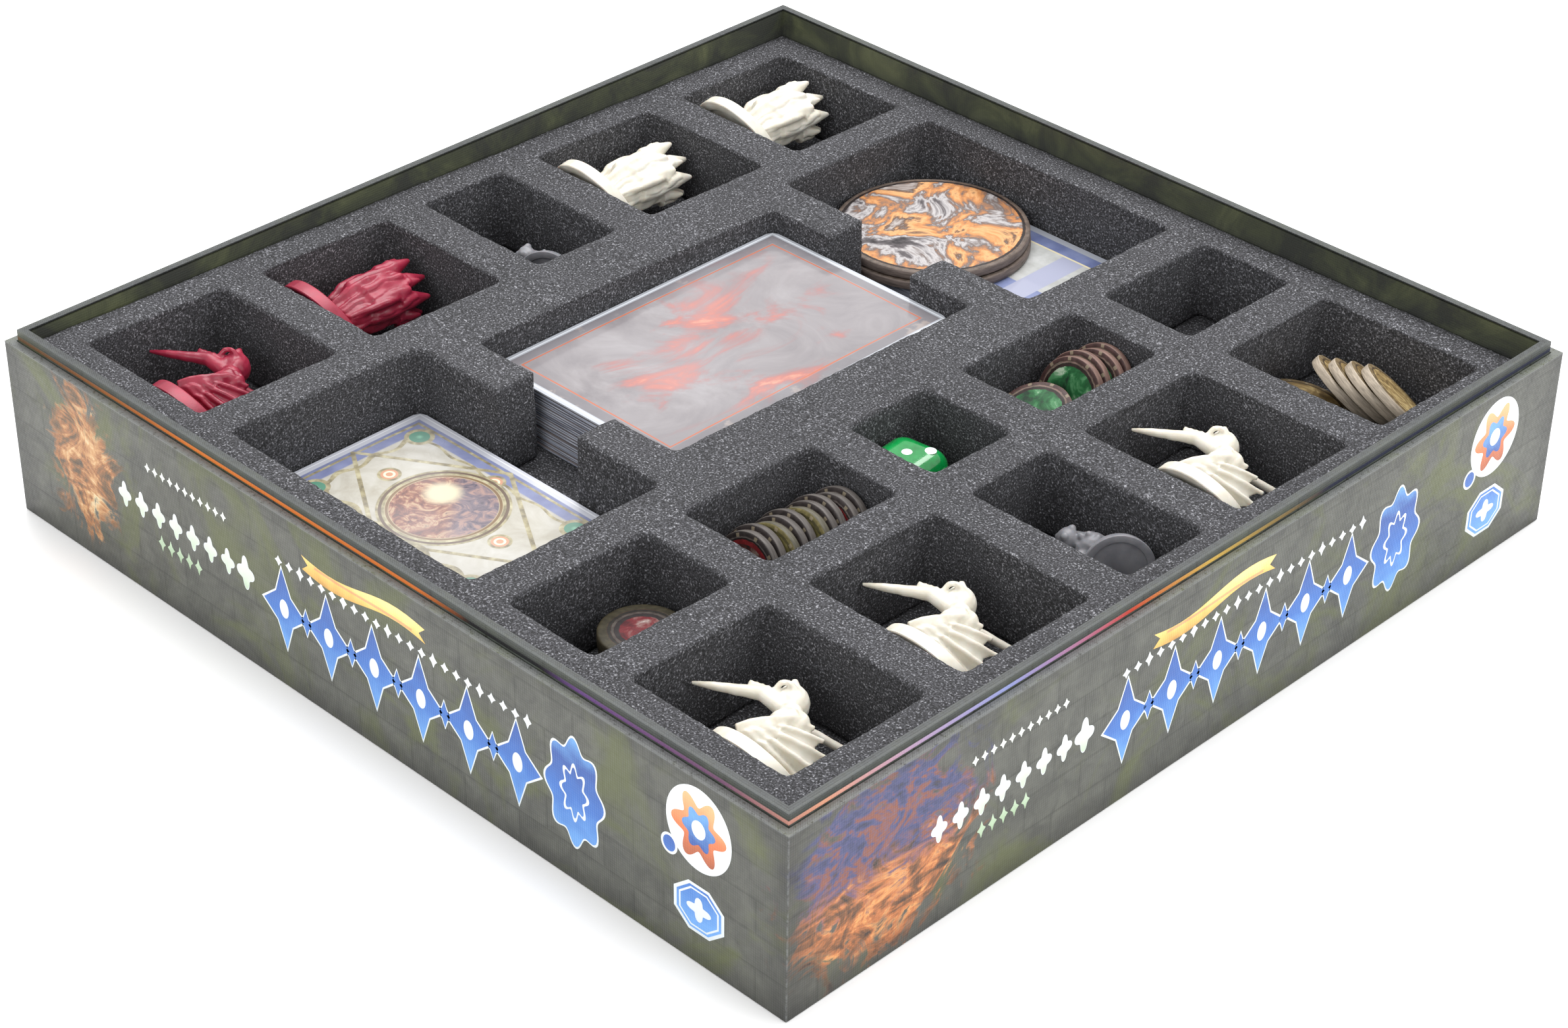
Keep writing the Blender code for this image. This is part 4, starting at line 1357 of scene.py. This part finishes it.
def crouched_mesh(body, head, base):
    """A small hunched figure: lumpy head with ears, bent limbs that lead to its base, ridged back."""
    bm = bmesh.new()
    body, head, base = Vector(body), Vector(head), Vector(base)
    facing = (head - body).normalized()
    across = facing.cross(Vector((0, 0, 1))).normalized()
    down = (base - body).normalized()
    ball(bm, body, (4.4, 3.9, 4.2))
    ball(bm, head, (2.6, 2.3, 2.5))
    ball(bm, head + facing * 1.9 - Vector((0, 0, 0.6)), (1.3, 1.2, 1.1))
    for side in (-1, 1):
        ball(bm, head + across * 1.9 * side + Vector((0, 0, 1.4)), (0.9, 0.9, 1.1))
        limb(bm, [body + across * 3.0 * side + facing, body + across * 4.4 * side + facing * 2.6,
                  head + across * 3.2 * side + facing * 1.2 - Vector((0, 0, 1.6))], [1.5, 1.2, 0.9], 10)
        limb(bm, [body + across * 2.0 * side, body + across * 2.8 * side + down * 3.4,
                  body + across * 1.8 * side + down * 5.6], [1.8, 1.5, 1.2], 10)
    for index in range(5):
        lift = radians(10 + 34 * index)
        ball(bm, body - facing * cos(lift) * 3.9 + Vector((0, 0, sin(lift) * 3.9)), (0.85, 0.85, 0.85))
    mesh = remeshed(bm, FIGURE_VOXEL, 1)
    for vertex in mesh.vertices:
        point = vertex.co / MM
        vertex.co = (point + (point - body).normalized() * 0.3 * wander(point, 0.6)) * MM
    return mesh


def set_figure(figure, mesh, look, offset):
    """Places a sculpted mesh in its pocket and gives it its base."""
    own = mesh.copy()
    own.materials.append(look)
    finish_object(figure + "_sculpt", own, [look], body_of(figure), (figure,),
                  Matrix.Translation(pocket_corner(figure, offset) * MM), 180)
    turned_base(figure, look)


WINGED_OFFSET = (16.1, 0.82)   # from a pocket's corner to the CAD base's, in millimetres
RAGGED_OFFSET = (1.7, 0.82)
winged = winged_mesh()
ragged = ragged_mesh()
for name, look, slot in (("a1", CRIMSON, "crimson_plastic"), ("d1", IVORY, "ivory_plastic"),
                         ("d2", IVORY, "ivory_plastic"), ("d4", IVORY, "ivory_plastic")):
    set_figure("winged_figure_" + name, winged, look, WINGED_OFFSET)
for name, look, slot in (("a2", CRIMSON, "crimson_plastic"), ("a4", IVORY, "ivory_plastic"),
                         ("a5", IVORY, "ivory_plastic")):
    set_figure("ragged_figure_" + name, ragged, look, RAGGED_OFFSET)
set_figure("crouched_figure_a3", crouched_mesh((26.4, 17.2, 7.5), (22.0, 13.8, 10.6), (31.8, 11.2, 7.5)),
           GREY, (23.95, 7.4))
set_figure("crouched_figure_d3", crouched_mesh((19.9, 18.9, 7.5), (13.8, 17.2, 8.8), (28.6, 16.8, 7.5)),
           GREY, (21.77, 10.84))


# ---- Floor, light and camera ----

FLOOR_SIZE = 3.0
FLOOR_DROP = 0.2         # the floor's gap under the lid, in millimetres


def pale_floor():
    """The photograph's plain pale ground."""
    bm = bmesh.new()
    bmesh.ops.create_grid(bm, x_segments=1, y_segments=1, size=FLOOR_SIZE)
    mesh = bpy.data.meshes.new("floor")
    bm.to_mesh(mesh)
    bm.free()
    floor = bpy.data.objects.new("floor", mesh)
    scene.collection.objects.link(floor)
    floor.location.z = -FLOOR_DROP * MM
    look = Look("pale_floor", 0.9)
    cloud = look.noise(look.place(), 0.004, 2.0)
    look.use(look.ramp(cloud, (0.0, 250, 250, 250), (1.0, 254, 254, 254)), 0.9)
    mesh.materials.append(look.material)


def area_light(name, place, target, size, power):
    data = bpy.data.lights.new(name, "AREA")
    data.shape = "SQUARE"
    data.size = size
    data.energy = power
    light = bpy.data.objects.new(name, data)
    scene.collection.objects.link(light)
    light.location = place
    light.rotation_euler = (Vector(target) - Vector(place)).to_track_quat("-Z", "Y").to_euler()


def soft_light():
    """An even white surround, a large lamp above and two at the sides."""
    world = bpy.data.worlds.new("studio")
    world.use_nodes = True
    world.node_tree.nodes["Background"].inputs["Color"].default_value = (1.0, 1.0, 1.0, 1.0)
    world.node_tree.nodes["Background"].inputs["Strength"].default_value = 0.9
    scene.world = world
    area_light("top_box", (-0.75, 1.05, 2.85), (0, 0, 0), 2.7, 126.0)
    area_light("front_fill", (1.05, -3.0, 1.65), (0, 0, 0.02), 2.1, 45.0)
    area_light("side_fill", (3.15, 0.75, 1.5), (0, 0, 0.02), 2.1, 45.0)


def camera():
    """The viewing angle: a long lens over the front corner, rolled a little."""
    place = Vector((0.47698, -0.48676, 0.45194))
    aim = Vector((0.00023, 0.00003, 0.0))
    data = bpy.data.cameras.new("camera")
    data.sensor_width = 36.0
    data.lens = 80.22
    data.clip_start = 0.01
    view = bpy.data.objects.new("camera", data)
    scene.collection.objects.link(view)
    forward = (aim - place).normalized()
    right = forward.cross(Vector((0, 0, 1))).normalized()
    up = right.cross(forward)
    roll = 0.0130
    turned_right = right * cos(roll) + up * sin(roll)
    turned_up = up * cos(roll) - right * sin(roll)
    view.matrix_world = Matrix((
        (turned_right.x, turned_up.x, -forward.x, place.x),
        (turned_right.y, turned_up.y, -forward.y, place.y),
        (turned_right.z, turned_up.z, -forward.z, place.z),
        (0, 0, 0, 1)))
    scene.camera = view


pale_floor()
soft_light()
camera()
scene.view_settings.view_transform = "Standard"
